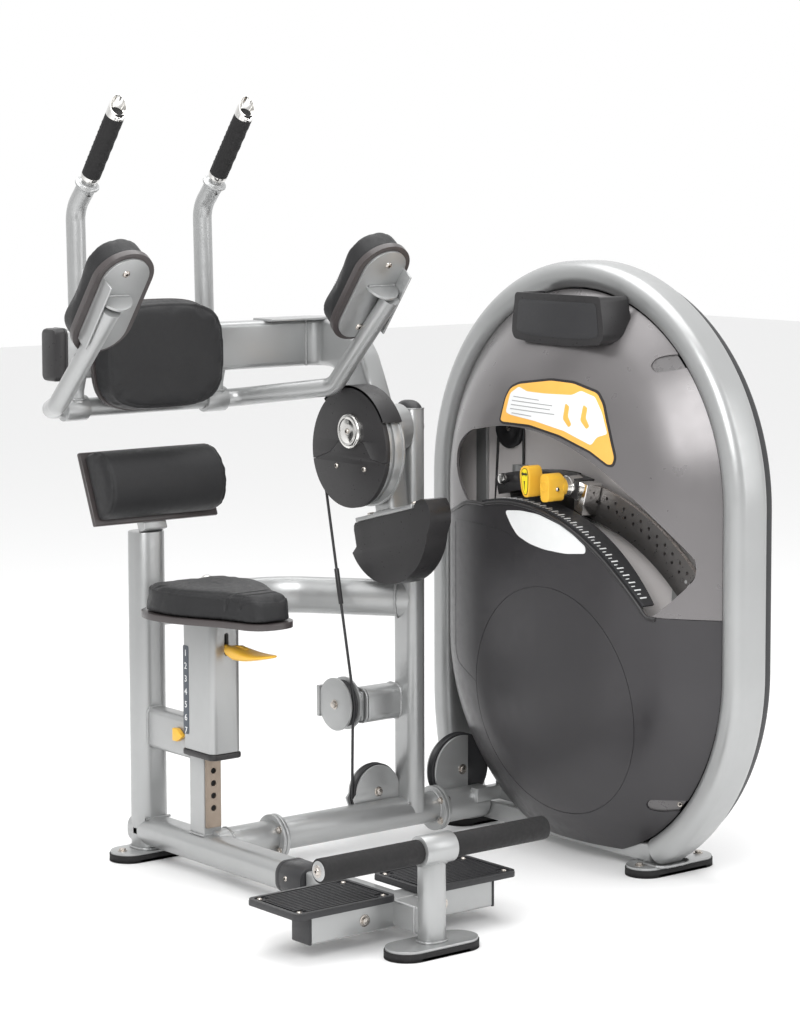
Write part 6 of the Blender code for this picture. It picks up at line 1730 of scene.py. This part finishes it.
def make_carriage():
    front = RAIL_X - 0.0045
    outline = sector(RAIL_CENTRE, 0.6000, 0.5600, 74.5, 100, 40)
    main = plate("main", [outline], 0.0430, "X", (front - 0.0215, 0, 0), 0.0020)
    outline = sector(RAIL_CENTRE, 0.5980, 0.5895, 80, 94, 20)
    bridge = plate("bridge", [outline], 0.0360, "X", (front + 0.0010, 0, 0))
    outline = sector(RAIL_CENTRE, 0.5985, 0.5605, 80.5, 93.5, 20)
    behind = plate("behind", [outline], 0.0080, "X", (front + 0.0155, 0, 0), 0.0010)
    parts = [look(p, BLACK) for p in (main, bridge, behind)]
    outline = arc(RAIL_CENTRE, 0.5985, 98.8, 102.5, 10) + arc(RAIL_CENTRE, 0.5300, 102.0, 99.4, 10)
    blade = plate("blade", [outline], 0.0400, "X", (front - 0.0215, 0, 0), 0.0016)
    parts.append(look(blade, CHROME))
    y, z = polar(0.583, 97.5)
    barrel = turned("barrel", [(0.0, 0.0), (0.0200, 0.0), (0.0200, 0.0300), (0.0212, 0.0305),
                               (0.0214, 0.0350), (0.0200, 0.0360), (0.0200, 0.0560), (0.0180, 0.0575),
                               (0.0, 0.0575)], (front - 0.018, y, z), (-1, 0, 0), 56)
    parts.append(look(barrel, CHROME))
    y, z = polar(0.588, 78)
    parts.append(look(rod("stem", 0.0080, (front - 0.020, y, z), (0.6220, y, z), 32), BLACK))
    parts.append(look(turned("bolt", [(0.0, 0.0080), (0.0080, 0.0080), (0.0110, 0.0065), (0.0120, 0.0040),
                                      (0.0120, 0.0), (0.0, 0.0)], (0.6280, y, z), (-1, 0, 0), 40), CHROME))
    for degrees in (95.5, 88.0):
        parts += round_screw((front - 0.0430, *polar(0.5700, degrees)), (-1, 0, 0), 0.0050)
    finish(join("slider_block", *parts), "carriage", ("carriage",))

    y, z = polar(0.583, 97.5)
    grip = plate("grip", [round_corners([(y - 0.021, z - 0.026), (y + 0.004, z - 0.029),
                                         (y + 0.007, z - 0.005), (y + 0.006, z + 0.024),
                                         (y - 0.004, z + 0.031), (y - 0.021, z + 0.023)], 0.010)], 0.0400,
                 "X", (0.5850, 0, 0), 0.006, segments=5)
    step = plate("step", [circle((y - 0.003, z + 0.001), 0.0195, 48)], 0.012, "X", (0.6090, 0, 0), 0.0020)
    parts = [look(grip, YELLOW), look(step, YELLOW)]
    parts += round_screw((0.5870, y - 0.0205, z - 0.002), (0, -1, 0), 0.0048)
    dish = plate("dish", [circle((y - 0.005, z + 0.004), radius, 40) for radius in (0.0115, 0.0085)], 0.0030,
                 "X", (0.5655, 0, 0), 0.0008)
    parts.append(look(dish, YELLOW))
    finish(join("slider_grip", *parts), "carriage", ("carriage_grip",))

    y, z = polar(0.590, 92.5)
    outline = [(y - 0.009, z - 0.034), (y + 0.005, z - 0.034), (y + 0.013, z - 0.020), (y + 0.018, z + 0.008),
               (y + 0.016, z + 0.023), (y + 0.004, z + 0.031), (y - 0.009, z + 0.028), (y - 0.014, z + 0.012),
               (y - 0.013, z - 0.016)]
    paddle = plate("paddle", [round_corners(outline, 0.012)], 0.0340, "X", (0.5800, 0, 0), 0.006, segments=5)
    parts = [look(paddle, YELLOW)]
    face = round_corners(shrink(outline, 0.0048), 0.007)
    parts.append(look(plate("rim", [face], 0.0008, "X", (0.5628, 0, 0)), BLACK))
    face = round_corners(shrink(outline, 0.0060), 0.006)
    parts.append(look(plate("label", [face], 0.0008, "X", (0.5624, 0, 0)), LEMON))
    y += 0.002
    z += 0.013
    arrow = [(-0.0090, 0.0), (-0.0045, 0.0050), (-0.0045, 0.0022), (0.0045, 0.0022), (0.0045, 0.0050),
             (0.0090, 0.0), (0.0045, -0.0050), (0.0045, -0.0022), (-0.0045, -0.0022), (-0.0045, -0.0050)]
    parts.append(look(plate("arrow", [[(y + a, z + b) for a, b in arrow]], 0.0006, "X", (0.5619, 0, 0)),
                      BLACK))
    wedge = [(y - 0.0016, z - 0.014), (y + 0.0016, z - 0.014), (y, z - 0.034)]
    parts.append(look(plate("wedge", [wedge], 0.0006, "X", (0.5619, 0, 0)), BLACK))
    finish(join("squeeze_paddle", *parts), "squeeze_trigger", ("squeeze_trigger",))


# ---------------------------------------------------------------- build
for make in (make_rear_frame, make_foot_pads, make_side_tube_cap, make_curved_beam, make_lumbar_pad,
             make_cross_frame, make_pivot_shaft, make_seat, make_footrest, make_arm, make_counterweight,
             make_drum, make_handles, make_back_pad, make_arm_pads, make_pulleys, make_cable, make_hoop,
             make_tower_frame, make_shells, make_scale_band, make_tray, make_weight_arm, make_carriage):
    make()


# ---------------------------------------------------------------- floor, light and camera
def studio_material(name, colour, roughness):
    made = bpy.data.materials.new(name)
    made.use_nodes = True
    shader = made.node_tree.nodes["Principled BSDF"]
    shader.inputs["Base Color"].default_value = (*colour, 1.0)
    shader.inputs["Roughness"].default_value = roughness
    return made


def make_stage():
    shape = bmesh.new()
    bmesh.ops.create_grid(shape, x_segments=2, y_segments=2, size=14.0)
    floor = from_bmesh("floor", shape)
    look(floor, studio_material("pale_floor", (0.93, 0.93, 0.93), 0.6))


def area_light(name, place, aim, size, power):
    data = bpy.data.lights.new(name, "AREA")
    data.shape = "RECTANGLE"
    data.size = size[0]
    data.size_y = size[1]
    data.energy = power
    thing = new_object(name, data)
    thing.location = place
    thing.rotation_euler = (Vector(aim) - Vector(place)).to_track_quat("-Z", "Y").to_euler()


BRIGHT_WALL = (0.45, 0.55, 0.70)        # direction of the brightest part of the studio


def make_light():
    world = bpy.data.worlds.new("studio")
    world.use_nodes = True
    tree = world.node_tree
    sky = tree.nodes["Background"]
    sky.inputs["Color"].default_value = (1.0, 1.0, 1.0, 1.0)
    place = tree.nodes.new("ShaderNodeTexCoord")
    toward = tree.nodes.new("ShaderNodeVectorMath")
    toward.operation = "DOT_PRODUCT"
    toward.inputs[1].default_value = BRIGHT_WALL
    link(tree, place, "Generated", toward, 0)
    fade = tree.nodes.new("ShaderNodeMapRange")
    fade.inputs["From Min"].default_value = -0.40
    fade.inputs["From Max"].default_value = 0.60
    fade.inputs["To Min"].default_value = 0.64
    fade.inputs["To Max"].default_value = 1.0
    link(tree, toward, "Value", fade, "Value")
    link(tree, fade, "Result", sky, "Strength")
    scene.world = world
    scene.view_settings.view_transform = "Standard"
    area_light("key", (-2.6, -2.6, 3.2), (0.0, 0.0, 0.6), (2.6, 2.6), 130.0)
    area_light("side", (2.2, -3.2, 2.0), (0.1, 0.0, 0.7), (1.6, 2.6), 25.0)
    area_light("top", (0.2, 0.4, 3.6), (0.0, 0.0, 0.5), (3.0, 3.0), 70.0)


def make_camera():
    data = bpy.data.cameras.new("camera")
    data.sensor_width = 36.0
    data.lens = 103.71
    data.shift_x = -0.0822
    data.shift_y = -0.0866
    data.clip_end = 100.0
    thing = new_object("camera", data)
    thing.location = (-3.5106, -4.5422, 1.4753)
    thing.rotation_euler = (math.radians(90 - 5.387), 0.0, math.radians(-39.578))
    scene.camera = thing


make_stage()
make_light()
make_camera()
